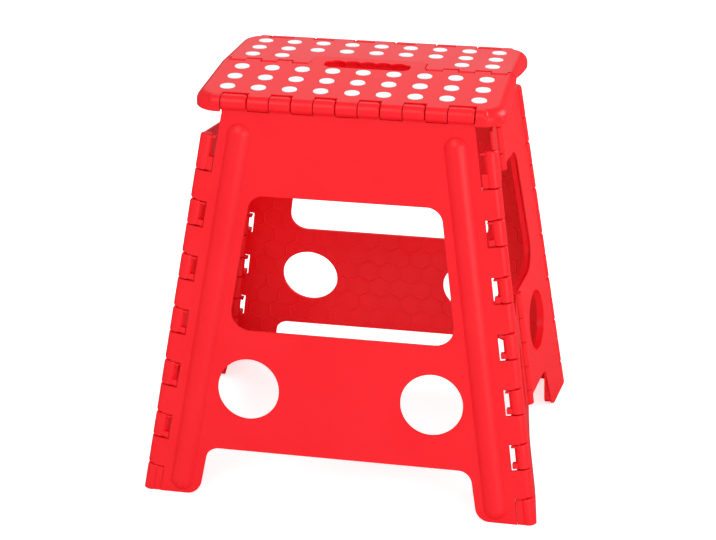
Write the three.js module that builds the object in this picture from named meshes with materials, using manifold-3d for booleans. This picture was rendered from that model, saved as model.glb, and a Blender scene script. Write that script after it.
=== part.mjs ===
// Folding step stool in moulded plastic: two leg panels, two seat halves and four
// side half panels, joined by knuckle hinges on steel pins, with rubber grip rows in the seat.
// Millimetres, +Z up, the front towards -Y. The origin is on the floor under the middle.
// It stands as photographed: open, with the seat seam a little raised and the sides a little
// folded in. The fold of a side is the turn of each half panel out of the flat.
import * as THREE from 'three';
import { mergeVertices } from 'three/addons/utils/BufferGeometryUtils.js';
import Module from 'manifold-3d';

const wasm = await Module();
wasm.setup();

// Stance, taken at the outer faces of the leg panels and their outer edges. The seat hinge
// lies seatAxisRun up the slope of a leg panel, and the heights below follow from it.
const footHalfDepth = 159.9;
const footHalfWidth = 193.1;
const seatAxisRun = 387.3;
const legLean = THREE.MathUtils.degToRad(8.65);
const edgeSpread = THREE.MathUtils.degToRad(8.63);
const sideFold = THREE.MathUtils.degToRad(4.0);
const seatTilt = THREE.MathUtils.degToRad(2.6);
const legEdge = (run) => footHalfWidth - run * Math.tan(edgeSpread);

// Walls and running gaps
const legWall = 3.2;
const sideWall = 2.8;
const sideFaceSetback = 0.5;
const seatWall = 3;
const knuckleGap = 0.5;
const seatGap = 0.6;
const overrun = 20;

// Hinge barrels and pins
const cornerBarrel = 6.8;
const cornerSlit = 2.9;
const frontBarrel = 7.2;
const seamBarrel = 4.7;
const sideBarrel = 5;
const cornerPin = 2;
const frontPin = 2;
const seamPin = 1.5;
const sidePin = 1.6;
const pinClearance = 0.3;
const openCornerClearance = 0.9;
const openSeatClearance = 2.2;
const pinEndCover = 4;

// Corner knuckles, measured up the hinge from the floor: the side panel has one more
// than the leg panel, and starts at the floor
const cornerKnuckles = 7;
const cornerTopMargin = 26.3;
const cornerKnuckleShare = 0.5;
const topKnuckleShare = 0.685;
const legKnuckleExtra = 1.8;
const cornerPitch = (seatAxisRun - cornerTopMargin) / (cornerKnuckles - 1 + topKnuckleShare);
const cornerKnuckle = cornerPitch * cornerKnuckleShare;
const topKnuckle = cornerPitch * topKnuckleShare;

// Leg panel openings, measured up the slope of the panel, with the width of the leg that
// stays beside each
const archHeight = 48.9;
const archTopMargin = 57.68;
const archFootMargin = 56.5;
const archRadius = 13;
const footRadius = 14;
const windowTopDrop = 86.4;
const windowBottomShare = 0.4376;
const windowBottomMargin = 58.08;
const windowTopMargin = 57.33;
const windowBottomRadius = 18;
const windowTopRadius = 15;
const roundHoleRadius = 30;
const roundHoleShare = 0.5175;
const roundHoleMargin = 87.71;
const windowBottom = seatAxisRun * windowBottomShare;
const windowTop = seatAxisRun - windowTopDrop;
const roundHoleHeight = archHeight + (windowBottom - archHeight) * roundHoleShare;
const archTopHalf = legEdge(archHeight) - archTopMargin;
const archFootHalf = legEdge(0) - archFootMargin;
const windowBottomHalf = legEdge(windowBottom) - windowBottomMargin;
const windowTopHalf = legEdge(windowTop) - windowTopMargin;
const roundHoleSpread = legEdge(roundHoleHeight) - roundHoleMargin;

// Raised rib down each leg, alongside the outer edge
const ribOffset = 37.1;
const ribHalfWidth = 10.2;
const ribRise = 4.6;
const ribTopDrop = 21.3;
const ribTop = seatAxisRun - ribTopDrop;

// Seat halves: they overhang the tops of the leg panels
const seatOverhang = 11.28;
const seatHalfWidth = legEdge(seatAxisRun) + seatOverhang;
const seatCornerRadius = 24;
const seatEdgeRadius = 10;

// Hinge of a seat half along the top of its leg panel. Its end knuckles are wider.
const seatAxisSetback = 0.8;
const hingeEndMargin = 27.4;
const frontKnuckleSteps = 5;
const frontEndShare = 0.71;
const frontHingeHalf = seatHalfWidth - hingeEndMargin;
const frontKnucklePitch = frontHingeHalf / (frontKnuckleSteps + frontEndShare);
const legTopRelief = 0.6;
const rearTopRelief = 2.6;
const skirtSwing = 3.4;

// Seam between the seat halves, and the ribs under the tread
const seatNotchRelief = 0.7;
const rearNotchRelief = 1.9;
const seamAxisDepth = 4.7;
const seamHalfGap = 0.4;
const seamKnuckles = 5;
const seamTabMargin = 2;
const seamEndMargin = 10.6;
const skirtTaperShare = 0.125;
const skirtSeamLift = 0.5;
const crossRib = 2.4;
const crossRibDepth = 6.2;
const frontRibDepth = 10;
const frontRibShort = 1.2;
const cornerBossLength = 10.5;

// Carrying tab of the front half, with its hand hole
const tabWidthShare = 0.3812;
const tabHalfWidth = seatHalfWidth * tabWidthShare;
const tabReach = 19.7;
const tabCornerRadius = 5;
const tabSkirt = 7;
const tabSideGap = 0.8;
const tabEndGap = 1.6;
const handHoleMargin = 13.5;
const handHoleHalf = tabHalfWidth - handHoleMargin;
const handHoleFront = 10;
const handHoleRear = 7.5;
const handHoleRadius = 8;
const fingerPitch = 15;
const fingerDepth = 2.2;
const fingers = 5;
const seamKnuckleStart = tabHalfWidth + seamTabMargin;
const seamKnucklePitch = (seatHalfWidth - seamEndMargin - seamKnuckleStart) / seamKnuckles;

// Rubber grip rows, spread over the width and depth of a seat half
const gripColumns = 9;
const gripRows = 3;
const gripSideMargin = 27.6;
const gripFirstRow = 21.3;
const gripFrontMargin = 23.38;
const gripRadiusShare = 0.266;
const gripFit = 0.3;
const gripRise = 0.5;
const gripRunner = 1.4;
const shortRowColumns = 2;

// Side half panels, measured up the side seam from the floor
const sideTopMargin = 10.3;
const sideShoulderDrop = 16;
const sideShoulderDip = 9.5;
const sideShoulderRun = 44;
const sideShoulderRise = 16;
const sideTop = seatAxisRun - sideTopMargin;
const sideShoulder = sideTop - sideShoulderDrop;
const sideShoulderRadius = 12;
// The face flares out from the seam to the outer side of the corner barrels
const sideFlare = THREE.MathUtils.degToRad(2.75);
const sideWindowMargin = 47;
const sideFootWidth = 60;
const sideArchWidth = 65;
const sideHoleRadius = 31;
const sideTopOverhang = 3.5;
const sideTopDrop = 4;
const sideFirstKnuckle = 16.1;
const sideLowerKnuckles = 5;
const sideLowerOverlap = 1.9;
const sideUpperFirst = 17;
const sideUpperKnuckles = 3;
const sideUpperMargin = 5.1;
const sideKnuckleStart = archHeight;
const sideLowerEnd = windowBottom + sideLowerOverlap;
const sideUpperEnd = sideTop - sideUpperMargin;
const sideKnucklePitch = (sideLowerEnd - sideKnuckleStart - sideFirstKnuckle) / (sideLowerKnuckles - 1);
const sideUpperPitch = (sideUpperEnd - windowTop - sideUpperFirst) / (sideUpperKnuckles - 1);

// Fineness of the round forms
const barrelSides = 10;
const boreSides = 6;
const pinSides = 8;
const gripSides = 8;
const holeSides = 20;
const arcSteps = 3;
const ribSides = 4;
const fingerSteps = 4;
const weld = 1e-4;

const red = { color: 0xf0202c, roughness: 0.42, metalness: 0 };
const innerRed = { color: 0xe01a28, roughness: 0.45, metalness: 0 };
const steel = { color: 0xb9bcc0, roughness: 0.3, metalness: 1 };
const rubber = { color: 0xf4f4f2, roughness: 0.7, metalness: 0 };

// Solids

function solid(geometry) {
  const bare = geometry.clone();
  bare.deleteAttribute('normal');
  bare.deleteAttribute('uv');
  const merged = mergeVertices(bare, weld);
  const vertProperties = new Float32Array(merged.attributes.position.array);
  const triVerts = new Uint32Array(merged.index.array);
  return new wasm.Manifold(new wasm.Mesh({ numProp: 3, vertProperties, triVerts }));
}

function join(...bodies) {
  return bodies.flat().reduce((sum, body) => sum.add(body));
}

function cut(body, ...tools) {
  return tools.flat().reduce((rest, tool) => rest.subtract(tool), body);
}

function toGeometry(body) {
  const mesh = body.getMesh();
  const geometry = new THREE.BufferGeometry();
  const position = new THREE.BufferAttribute(new Float32Array(mesh.vertProperties), 3);
  geometry.setAttribute('position', position);
  geometry.setIndex(new THREE.BufferAttribute(new Uint32Array(mesh.triVerts), 1));
  const flat = geometry.toNonIndexed();
  flat.computeVertexNormals();
  return flat;
}

function slab(points, holes, from, to, frame) {
  const shape = new THREE.Shape(points);
  shape.holes = holes.map((hole) => new THREE.Path(hole));
  const geometry = new THREE.ExtrudeGeometry(shape, { depth: to - from, bevelEnabled: false });
  geometry.translate(0, 0, from);
  if (frame) geometry.applyMatrix4(frame);
  return solid(geometry);
}

function block(x0, x1, y0, y1, z0, z1, frame) {
  const geometry = new THREE.BoxGeometry(x1 - x0, y1 - y0, z1 - z0);
  geometry.translate((x0 + x1) / 2, (y0 + y1) / 2, (z0 + z1) / 2);
  if (frame) geometry.applyMatrix4(frame);
  return solid(geometry);
}

// A round bar along the local Z of a frame
function bar(radius, from, to, sides, frame) {
  const geometry = new THREE.CylinderGeometry(radius, radius, to - from, sides);
  geometry.rotateX(Math.PI / 2);
  geometry.translate(0, 0, (from + to) / 2);
  if (frame) geometry.applyMatrix4(frame);
  return solid(geometry);
}

// A bore whose flats, not its corners, clear the pin
function bore(pin, clearance, from, to, frame) {
  const radius = (pin + clearance) / Math.cos(Math.PI / boreSides);
  return bar(radius, from, to, boreSides, frame);
}

function frameOf(x, y, z, origin) {
  return new THREE.Matrix4().makeBasis(x, y, z).setPosition(origin);
}

function vec(x, y, z) {
  return new THREE.Vector3(x, y, z);
}

// Outline points of a polygon whose corners [x, y, radius] are rounded
function rounded(corners) {
  const points = [];
  corners.forEach(([x, y, radius = 0], index) => {
    const here = new THREE.Vector2(x, y);
    if (radius === 0) {
      points.push(here);
      return;
    }
    const last = corners[(index + corners.length - 1) % corners.length];
    const next = corners[(index + 1) % corners.length];
    const back = new THREE.Vector2(last[0] - x, last[1] - y).normalize();
    const ahead = new THREE.Vector2(next[0] - x, next[1] - y).normalize();
    const half = Math.acos(back.dot(ahead)) / 2;
    const middle = back.clone().add(ahead).normalize();
    const centre = here.clone().addScaledVector(middle, radius / Math.sin(half));
    const start = here.clone().addScaledVector(back, radius / Math.tan(half)).sub(centre);
    const turn = Math.sign(ahead.cross(back)) * (Math.PI - 2 * half);
    for (let step = 0; step <= arcSteps; step += 1) {
      const spoke = start.clone().rotateAround(new THREE.Vector2(), (turn * step) / arcSteps);
      points.push(spoke.add(centre));
    }
  });
  return points;
}

function ring(x, y, radius, sides) {
  const points = [];
  for (let side = 0; side < sides; side += 1) {
    const angle = (2 * Math.PI * side) / sides;
    points.push(new THREE.Vector2(x + radius * Math.cos(angle), y + radius * Math.sin(angle)));
  }
  return points;
}

// Frames

// Leg panel: X along the stool, Y up the slope, Z out of the outer face
const legOut = vec(0, -Math.cos(legLean), Math.sin(legLean));
const legUp = vec(0, Math.sin(legLean), Math.cos(legLean));
const frontLegFrame = frameOf(vec(1, 0, 0), legUp, legOut, vec(0, -footHalfDepth, 0));
const halfTurn = new THREE.Matrix4().makeRotationZ(Math.PI);
const rearLegFrame = halfTurn.clone().multiply(frontLegFrame);

// Corner hinge inside the leg panel's frame, on one side: X towards the outer edge
function cornerAxis(side) {
  const along = vec(-side * Math.sin(edgeSpread), Math.cos(edgeSpread), 0);
  const outward = vec(side * Math.cos(edgeSpread), Math.sin(edgeSpread), 0);
  const across = along.clone().cross(outward);
  const start = vec(side * (footHalfWidth - cornerBarrel / Math.cos(edgeSpread)), 0, -cornerBarrel);
  return frameOf(outward, across, along, start);
}

// The hinges of one end of the stool meet in a point high above the seat
const cornerWorld = frontLegFrame.clone().multiply(cornerAxis(1));
const cornerFoot = vec(0, 0, 0).setFromMatrixPosition(cornerWorld);
const cornerUp = vec(0, 0, 0).setFromMatrixColumn(cornerWorld, 2);
const cornerRun = -cornerFoot.y / cornerUp.y;
const apex = cornerFoot.clone().addScaledVector(cornerUp, cornerRun);
const halfAngle = Math.asin(cornerUp.y / Math.cos(sideFold));
const cornerTilt = Math.atan2(-cornerUp.x, cornerUp.z);
const seamLean = cornerTilt - Math.atan(Math.tan(halfAngle) * Math.sin(sideFold));
const seamUp = vec(-Math.sin(seamLean), 0, Math.cos(seamLean));
const seamRun = apex.z / seamUp.z;
const seamFoot = apex.clone().addScaledVector(seamUp, -seamRun);

// Side half panel: X out of the outer face, Z up the side seam, and Y towards the corner on
// the rear right and front left, away from it on the other two
function sidePanelFrame(towardsRear) {
  const cornerUpHere = vec(cornerUp.x, towardsRear ? -cornerUp.y : cornerUp.y, cornerUp.z);
  const toCorner = seamUp.clone().multiplyScalar(cornerUpHere.dot(seamUp)).sub(cornerUpHere);
  toCorner.normalize();
  const across = towardsRear ? toCorner : toCorner.negate();
  return frameOf(across.clone().cross(seamUp), across, seamUp, seamFoot);
}
const rightRearFrame = sidePanelFrame(true);
const rightFrontFrame = sidePanelFrame(false);
const leftFrontFrame = halfTurn.clone().multiply(rightRearFrame);
const leftRearFrame = halfTurn.clone().multiply(rightFrontFrame);

function cornerLine(height) {
  return (seamRun - height) * Math.tan(halfAngle);
}

// Seat half: X along its leg panel, Y towards the seat seam, Z out of the tread, and the
// origin on the hinge at the top of the leg panel
const seatAxis = vec(0, seatAxisRun, -seatAxisSetback).applyMatrix4(frontLegFrame);
const seatInward = vec(0, Math.cos(seatTilt), Math.sin(seatTilt));
const seatOut = vec(0, -Math.sin(seatTilt), Math.cos(seatTilt));
const frontSeatFrame = frameOf(vec(1, 0, 0), seatInward, seatOut, seatAxis);
const rearSeatFrame = halfTurn.clone().multiply(frontSeatFrame);
const seamRise = frontBarrel - seamAxisDepth;
const seamReach = (-seatAxis.y + seamRise * Math.sin(seatTilt)) / Math.cos(seatTilt);

// A hinge frame that runs along X through a point of the seat half or leg panel
function crossAxis(y, z) {
  return frameOf(vec(0, 1, 0), vec(0, 0, 1), vec(1, 0, 0), vec(0, y, z));
}

// Everything below the floor, in the frame of a panel
function belowFloor(frame) {
  const reach = footHalfWidth + footHalfDepth;
  const back = frame.clone().invert();
  return block(-reach, reach, -reach, reach, -reach, 0, back);
}

// Knuckle spans [from, to] along each kind of hinge, gaps left out

function cornerSpans(onSidePanel) {
  const spans = [];
  for (let index = 0; index < cornerKnuckles; index += 1) {
    const start = index * cornerPitch;
    const from = index === 0 ? start : start + legKnuckleExtra;
    const to = start + (index === cornerKnuckles - 1 ? topKnuckle : cornerKnuckle);
    if (onSidePanel) spans.push([from, to]);
    else if (index < cornerKnuckles - 1) spans.push([to, start + cornerPitch + legKnuckleExtra]);
  }
  return spans;
}

function frontSpans(onLegPanel) {
  const spans = [];
  for (let index = -frontKnuckleSteps; index <= frontKnuckleSteps; index += 1) {
    const legs = Math.abs(index) % 2 === 1;
    const from = (index - 0.5) * frontKnucklePitch;
    const outermost = Math.abs(index) === frontKnuckleSteps;
    const start = outermost && index < 0 ? -frontHingeHalf : from;
    const end = outermost && index > 0 ? frontHingeHalf : from + frontKnucklePitch;
    if (legs === onLegPanel) spans.push([start, end]);
  }
  return spans;
}

function seamSpans(onFrontHalf) {
  const spans = [];
  for (let index = 0; index < seamKnuckles; index += 1) {
    const from = seamKnuckleStart + index * seamKnucklePitch;
    const to = from + seamKnucklePitch;
    if ((index % 2 === 1) === onFrontHalf) spans.push([from, to], [-to, -from]);
  }
  return spans;
}

function sideSpans(onFrontHalf) {
  const spans = [];
  const stacks = [
    [sideKnuckleStart, sideFirstKnuckle, sideKnucklePitch, sideLowerKnuckles],
    [windowTop, sideUpperFirst, sideUpperPitch, sideUpperKnuckles],
  ];
  stacks.forEach(([start, first, pitch, count]) => {
    for (let index = 0; index < count; index += 1) {
      const from = index === 0 ? start : start + first + (index - 1) * pitch;
      const to = start + first + index * pitch;
      if ((index % 2 === 0) === onFrontHalf) spans.push([from, to]);
    }
  });
  return spans;
}

function barrels(radius, spans, frame) {
  return spans.map(([from, to]) => {
    return bar(radius, from + knuckleGap / 2, to - knuckleGap / 2, barrelSides, frame);
  });
}

// Room for the other leaf's knuckles: x runs across the hinge line
function notches(spans, x0, x1, reach, frame) {
  return spans.map(([from, to]) => {
    return block(x0, x1, -reach, reach, from - knuckleGap / 2, to + knuckleGap / 2, frame);
  });
}

// Leg panels

function legOutline() {
  const top = seatAxisRun;
  const axisHalf = (run) => legEdge(run) - cornerBarrel / Math.cos(edgeSpread);
  return rounded([
    [axisHalf(0), 0],
    [axisHalf(top), top],
    [-axisHalf(top), top],
    [-axisHalf(0), 0],
    [-archFootHalf, 0, footRadius],
    [-archTopHalf, archHeight, archRadius],
    [archTopHalf, archHeight, archRadius],
    [archFootHalf, 0, footRadius],
  ]);
}

function legHoles() {
  const windowEdge = rounded([
    [-windowBottomHalf, windowBottom, windowBottomRadius],
    [windowBottomHalf, windowBottom, windowBottomRadius],
    [windowTopHalf, windowTop, windowTopRadius],
    [-windowTopHalf, windowTop, windowTopRadius],
  ]);
  return [
    windowEdge,
    ring(roundHoleSpread, roundHoleHeight, roundHoleRadius, holeSides),
    ring(-roundHoleSpread, roundHoleHeight, roundHoleRadius, holeSides),
  ];
}

// Half-round rib with a domed top end, alongside the corner hinge
function legRib(side) {
  const axis = cornerAxis(side);
  const along = axis.clone().multiply(new THREE.Matrix4().makeTranslation(
    cornerBarrel - ribOffset, 0, 0));
  const arc = [];
  for (let step = 0; step <= ribSides; step += 1) {
    const angle = (Math.PI * step) / ribSides;
    const rise = cornerBarrel + ribRise * Math.sin(angle);
    arc.push(new THREE.Vector2(ribHalfWidth * Math.cos(angle), -side * rise));
  }
  const base = cornerBarrel - legWall / 2;
  arc.push(new THREE.Vector2(-ribHalfWidth, -side * base));
  arc.push(new THREE.Vector2(ribHalfWidth, -side * base));
  const body = slab(arc, [], -ribRise * 2, ribTop - ribHalfWidth, along);
  const profile = [new THREE.Vector2(0, -legWall / 2), new THREE.Vector2(ribHalfWidth, -legWall / 2)];
  for (let step = 0; step < ribSides / 2; step += 1) {
    const angle = (Math.PI * step) / ribSides;
    profile.push(new THREE.Vector2(ribHalfWidth * Math.cos(angle), ribRise * Math.sin(angle)));
  }
  profile.push(new THREE.Vector2(0, ribRise));
  const dome = new THREE.LatheGeometry(profile, 2 * ribSides);
  if (side > 0) dome.rotateX(Math.PI);
  dome.translate(cornerBarrel - ribOffset, -side * cornerBarrel, ribTop - ribHalfWidth);
  dome.applyMatrix4(axis);
  return join(body, solid(dome));
}

function legPanel(frame, topRelief) {
  const sides = [1, -1];
  const reach = 2 * cornerBarrel + legWall;
  let body = slab(legOutline(), legHoles(), -legWall, 0);
  body = join(body, sides.map(legRib));
  sides.forEach((side) => {
    const axis = cornerAxis(side);
    const inner = -cornerBarrel - cornerSlit;
    body = cut(body, notches(cornerSpans(true), inner, overrun, reach, axis));
    const lastSpan = cornerSpans(true)[cornerKnuckles - 1];
    body = cut(body, block(inner, overrun, -reach, reach, lastSpan[0], seatAxisRun + overrun, axis));
    body = join(body, barrels(cornerBarrel, cornerSpans(false), axis));
    body = cut(body, bore(cornerPin, pinClearance, cornerPinStart, cornerPinEnd, axis));
  });
  const hinge = crossAxis(seatAxisRun, -seatAxisSetback);
  const below = frontBarrel + topRelief;
  const ends = [[frontHingeHalf, footHalfWidth], [-footHalfWidth, -frontHingeHalf]];
  body = cut(body, notches(frontSpans(false), -below, overrun, overrun, hinge));
  body = cut(body, notches(ends, -below - skirtSwing, overrun, overrun, hinge));
  body = join(body, barrels(frontBarrel, frontSpans(true), hinge));
  body = cut(body, bore(frontPin, pinClearance, -frontPinHalf, frontPinHalf, hinge));
  return cut(body, belowFloor(frame));
}

// Seat halves

const seatFront = -frontBarrel;
const seatTop = frontBarrel;
const seatUnder = seatTop - seatWall;
const seamEdge = seamReach - seamHalfGap;
const cornerPinStart = pinEndCover + cornerBarrel * Math.tan(legLean);
const cornerPinEnd = (cornerKnuckles - 1) * cornerPitch + topKnuckle - pinEndCover;
const frontPinHalf = frontHingeHalf + cornerBossLength - pinEndCover;
const gripPitch = (2 * (seatHalfWidth - gripSideMargin)) / (gripColumns - 1);
const gripRowPitch = (seamReach - gripFirstRow - gripFrontMargin) / (gripRows - 1);
const gripRadius = gripRowPitch * gripRadiusShare;
const gripPlugRadius = gripRadius - gripFit;

function gripPlaces(columns, distance) {
  const middle = (gripColumns - 1) / 2;
  return columns.map((column) => [(column - middle) * gripPitch, seamReach - distance]);
}

function gripRowList(rear) {
  const all = Array.from({ length: gripColumns }, (unused, column) => column);
  const rows = [];
  for (let row = gripRows - 1; row >= 0; row -= 1) {
    const distance = gripFirstRow + row * gripRowPitch;
    if (rear && row === 0) {
      rows.push([all.slice(gripColumns - shortRowColumns), distance]);
      rows.push([all.slice(0, shortRowColumns), distance]);
    } else rows.push([all, distance]);
  }
  return rows;
}

function gripHoles(rear) {
  return gripRowList(rear).flatMap(([columns, distance]) => {
    return gripPlaces(columns, distance).map(([x, y]) => ring(x, y, gripRadius, gripSides));
  });
}

function plainOutline(inset) {
  const half = seatHalfWidth - inset;
  const radius = seatCornerRadius - inset;
  return rounded([
    [-half, seatFront + inset, radius],
    [half, seatFront + inset, radius],
    [half, seamEdge],
    [-half, seamEdge],
  ]);
}

function handHole() {
  const rear = seamReach + handHoleRear;
  const front = seamReach - handHoleFront;
  const points = rounded([
    [-handHoleHalf, rear, handHoleRadius],
    [-handHoleHalf, front, handHoleRadius],
    [handHoleHalf, front, handHoleRadius],
    [handHoleHalf, rear, handHoleRadius],
  ]);
  const scallops = [];
  const steps = fingers * fingerSteps;
  const halfSpan = (fingers * fingerPitch) / 2;
  const flatHalf = handHoleHalf - handHoleRadius;
  for (let step = 1; step < steps; step += 1) {
    const x = halfSpan - (step * fingerPitch) / fingerSteps;
    const depth = fingerDepth * Math.abs(Math.sin((Math.PI * step) / fingerSteps));
    if (Math.abs(x) < flatHalf) scallops.push(new THREE.Vector2(x, rear + depth));
  }
  const head = points.slice(0, arcSteps + 1);
  const tail = points.slice(arcSteps + 1);
  return [...head, ...tail, ...scallops];
}

function handHoleRim() {
  return block(-handHoleHalf - seatWall, handHoleHalf + seatWall,
    seamReach - handHoleFront - seatWall, seamReach + tabReach, seatTop - tabSkirt, seatTop);
}

function tabOutline(grow, growEnd) {
  const half = tabHalfWidth + grow;
  const end = seamReach + tabReach + growEnd;
  return rounded([
    [-half, seamEdge - seatCornerRadius],
    [half, seamEdge - seatCornerRadius],
    [half, end, tabCornerRadius],
    [-half, end, tabCornerRadius],
  ]);
}

// Ribs under the tread, along X between the grip rows
function crossRibs() {
  const half = seatHalfWidth - seatWall / 2;
  const low = seatTop - crossRibDepth - seatWall;
  const ribs = [];
  for (let row = 0; row < gripRows - 1; row += 1) {
    const y = seamReach - gripFirstRow - (row + 0.5) * gripRowPitch;
    ribs.push(block(-half, half, y - crossRib / 2, y + crossRib / 2, low, seatTop - seatWall / 2));
  }
  return ribs;
}

// The section of a seat half across X, or of its hollow, as a bar along Y
function treadSection(inset) {
  const half = seatHalfWidth - inset;
  const radius = seatEdgeRadius - inset;
  const points = rounded([
    [-half, -overrun - overrun],
    [half, -overrun - overrun],
    [half, seatTop - inset, radius],
    [-half, seatTop - inset, radius],
  ]);
  const frame = frameOf(vec(1, 0, 0), vec(0, 0, 1), vec(0, -1, 0), vec(0, 0, 0));
  return slab(points, [], -seatHalfWidth, seatHalfWidth, frame);
}

// What lies below a slope that rises to the seam, so that the folded halves clear
function underTaper() {
  const drop = skirtTaperShare * (seamReach + overrun);
  const high = seamRise + skirtSeamLift;
  const points = [
    new THREE.Vector2(seamReach, high),
    new THREE.Vector2(-overrun, high - drop),
    new THREE.Vector2(-overrun, -overrun * 2),
    new THREE.Vector2(seamReach, -overrun * 2),
  ];
  const half = seatHalfWidth + overrun;
  const frame = frameOf(vec(0, 1, 0), vec(0, 0, 1), vec(1, 0, 0), vec(0, 0, 0));
  return slab(points, [], -half, half, frame);
}

function seatHalf(rear) {
  const notchRelief = rear ? rearNotchRelief : seatNotchRelief;
  const notchEdge = frontBarrel + notchRelief;
  const frontRib = notchEdge + crossRib;
  const clearance = rear ? openSeatClearance : pinClearance;
  const seamNotch = seamBarrel + seatGap;
  const outer = plainOutline(0);
  const hollow = join(
    slab(plainOutline(seatWall), [], seatFront - overrun, seatUnder),
    block(-seatHalfWidth + seatWall, seatHalfWidth - seatWall,
      seamEdge - seatWall - overrun, seamEdge + overrun, -overrun, seatUnder),
  ).intersect(treadSection(seatWall));
  let body = cut(slab(outer, gripHoles(rear), seatFront, seatTop), hollow);
  const ribHalf = frontHingeHalf - frontRibShort;
  const frontWall = block(-ribHalf, ribHalf, notchEdge, frontRib, seatTop - frontRibDepth,
    seatTop - seatWall / 2);
  const seamWall = block(-seatHalfWidth + seatWall / 2, seatHalfWidth - seatWall / 2,
    seamEdge - seamNotch - crossRib, seamEdge - seamNotch, -overrun, seatTop - seatWall / 2);
  body = join(body, frontWall, crossRibs(), seamWall);
  if (!rear) body = join(body, handHoleRim());
  body = cut(body, underTaper());
  const hinge = crossAxis(0, 0);
  body = cut(body, block(-frontHingeHalf - knuckleGap / 2, frontHingeHalf + knuckleGap / 2,
    seatFront - overrun, notchEdge, -overrun, seatTop + overrun));
  const webs = frontSpans(false).map(([from, to]) => {
    return block(from + knuckleGap / 2, to - knuckleGap / 2, 0, notchEdge + crossRib / 2,
      seatTop - crossRibDepth, seatTop);
  });
  const bossPrism = slab(outer, [], seatFront - overrun, seatTop);
  const bossEnd = frontHingeHalf + cornerBossLength;
  const bosses = [[frontHingeHalf, bossEnd], [-bossEnd, -frontHingeHalf]];
  const cornerBosses = barrels(frontBarrel, bosses, hinge).map((boss) => boss.intersect(bossPrism));
  body = join(body, webs, barrels(frontBarrel, frontSpans(false), hinge), cornerBosses);
  body = cut(body, bore(frontPin, clearance, -frontPinHalf - knuckleGap, frontPinHalf + knuckleGap, hinge));
  const seam = crossAxis(seamReach, seamRise);
  const otherSpans = rear ? [...seamSpans(true), ...seamCoverSpans()] : seamSpans(false);
  const ownSpans = rear ? seamSpans(false) : [...seamSpans(true), ...seamCoverSpans()];
  body = cut(body, notches(otherSpans, -seamNotch, overrun, overrun, seam));
  if (rear) {
    body = cut(body, slab(tabOutline(tabSideGap, 0), [], -overrun, seatTop + overrun).intersect(
      block(-seatHalfWidth, seatHalfWidth, seamReach - tabReach - tabEndGap, seamReach + overrun,
        -overrun, seatTop + overrun)));
  } else {
    const tab = slab(tabOutline(0, 0), [], seatUnder, seatTop);
    const rim = cut(slab(tabOutline(0, 0), [], seatTop - tabSkirt, seatTop), slab(
      tabOutline(-seatWall, -seatWall), [], -overrun, seatUnder), block(-seatHalfWidth, seatHalfWidth,
      -overrun, seamReach, -overrun, seatUnder));
    const rimAround = cut(handHoleRim(), block(-seatHalfWidth, seatHalfWidth, -overrun, seamReach,
      -overrun, seatUnder));
    body = join(body, tab, rim, rimAround);
    body = cut(body, slab(handHole(), [], -overrun, seatTop + overrun));
    gripPlaces([2, 3, 4, 5, 6], gripFirstRow).forEach(([x, y]) => {
      body = cut(body, slab(ring(x, y, gripRadius, gripSides), [], seatUnder - weld, seatTop + overrun));
    });
  }
  body = join(body, barrels(seamBarrel, ownSpans, seam)).intersect(treadSection(0));
  return cut(body, seamBores(seam));
}

// The seam pins lie between the tab and the end of the front half's last knuckle
const seamPinStart = seamKnuckleStart + knuckleGap;
const seamPinEnd = seamKnuckleStart + seamKnuckles * seamKnucklePitch + pinEndCover / 2;

function seamCoverSpans() {
  const from = seamKnuckleStart + seamKnuckles * seamKnucklePitch;
  const to = from + pinEndCover;
  return [[from, to], [-to, -from]];
}

function seamBores(seam) {
  return [
    bore(seamPin, pinClearance, seamPinStart - knuckleGap, seamPinEnd + knuckleGap, seam),
    bore(seamPin, pinClearance, -seamPinEnd - knuckleGap, -seamPinStart + knuckleGap, seam),
  ];
}

// Grip row: a runner under the tread with a plug up through each hole
function gripRow(columns, distance) {
  const places = gripPlaces(columns, distance);
  const xs = places.map(([x]) => x);
  const y = seamReach - distance;
  const under = seatUnder - gripFit;
  const runner = block(Math.min(...xs) - gripPlugRadius, Math.max(...xs) + gripPlugRadius,
    y - gripRadius, y + gripRadius, under - gripRunner, under);
  const plugs = places.map(([x]) => {
    return slab(ring(x, y, gripPlugRadius, gripSides), [], under - gripRunner / 2, seatTop + gripRise);
  });
  return join(runner, plugs);
}

// Side half panels

function sidePinSpans() {
  return [
    [sideKnuckleStart + pinEndCover, sideLowerEnd - pinEndCover],
    [windowTop + pinEndCover, sideUpperEnd - pinEndCover],
  ];
}

function sideOutline(lowShoulder) {
  const foot = -ribRise;
  const edge = cornerLine;
  const dip = edge(sideShoulder) - sideShoulderRun;
  const top = lowShoulder
    ? [[edge(sideShoulder), sideShoulder],
      [dip, sideShoulder - sideShoulderDip, sideShoulderRadius],
      [dip - sideShoulderRise, sideTop, sideShoulderRadius]]
    : [[edge(sideShoulder), sideShoulder], [edge(sideShoulder) + sideTopOverhang, sideShoulder],
      [edge(sideTop) + sideTopOverhang, sideTop - sideTopDrop, sideTopOverhang]];
  return rounded([
    [0, sideKnuckleStart],
    [edge(sideKnuckleStart) - sideArchWidth, sideKnuckleStart, archRadius],
    [edge(0) - sideFootWidth, 0, footRadius],
    [edge(foot), foot],
    ...top,
    [0, sideTop],
  ]);
}

function sideWindow() {
  return rounded([
    [-overrun, windowBottom],
    [cornerLine(windowBottom) - sideWindowMargin, windowBottom, windowBottomRadius],
    [cornerLine(windowTop) - sideWindowMargin, windowTop, windowTopRadius],
    [-overrun, windowTop],
  ]);
}

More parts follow.
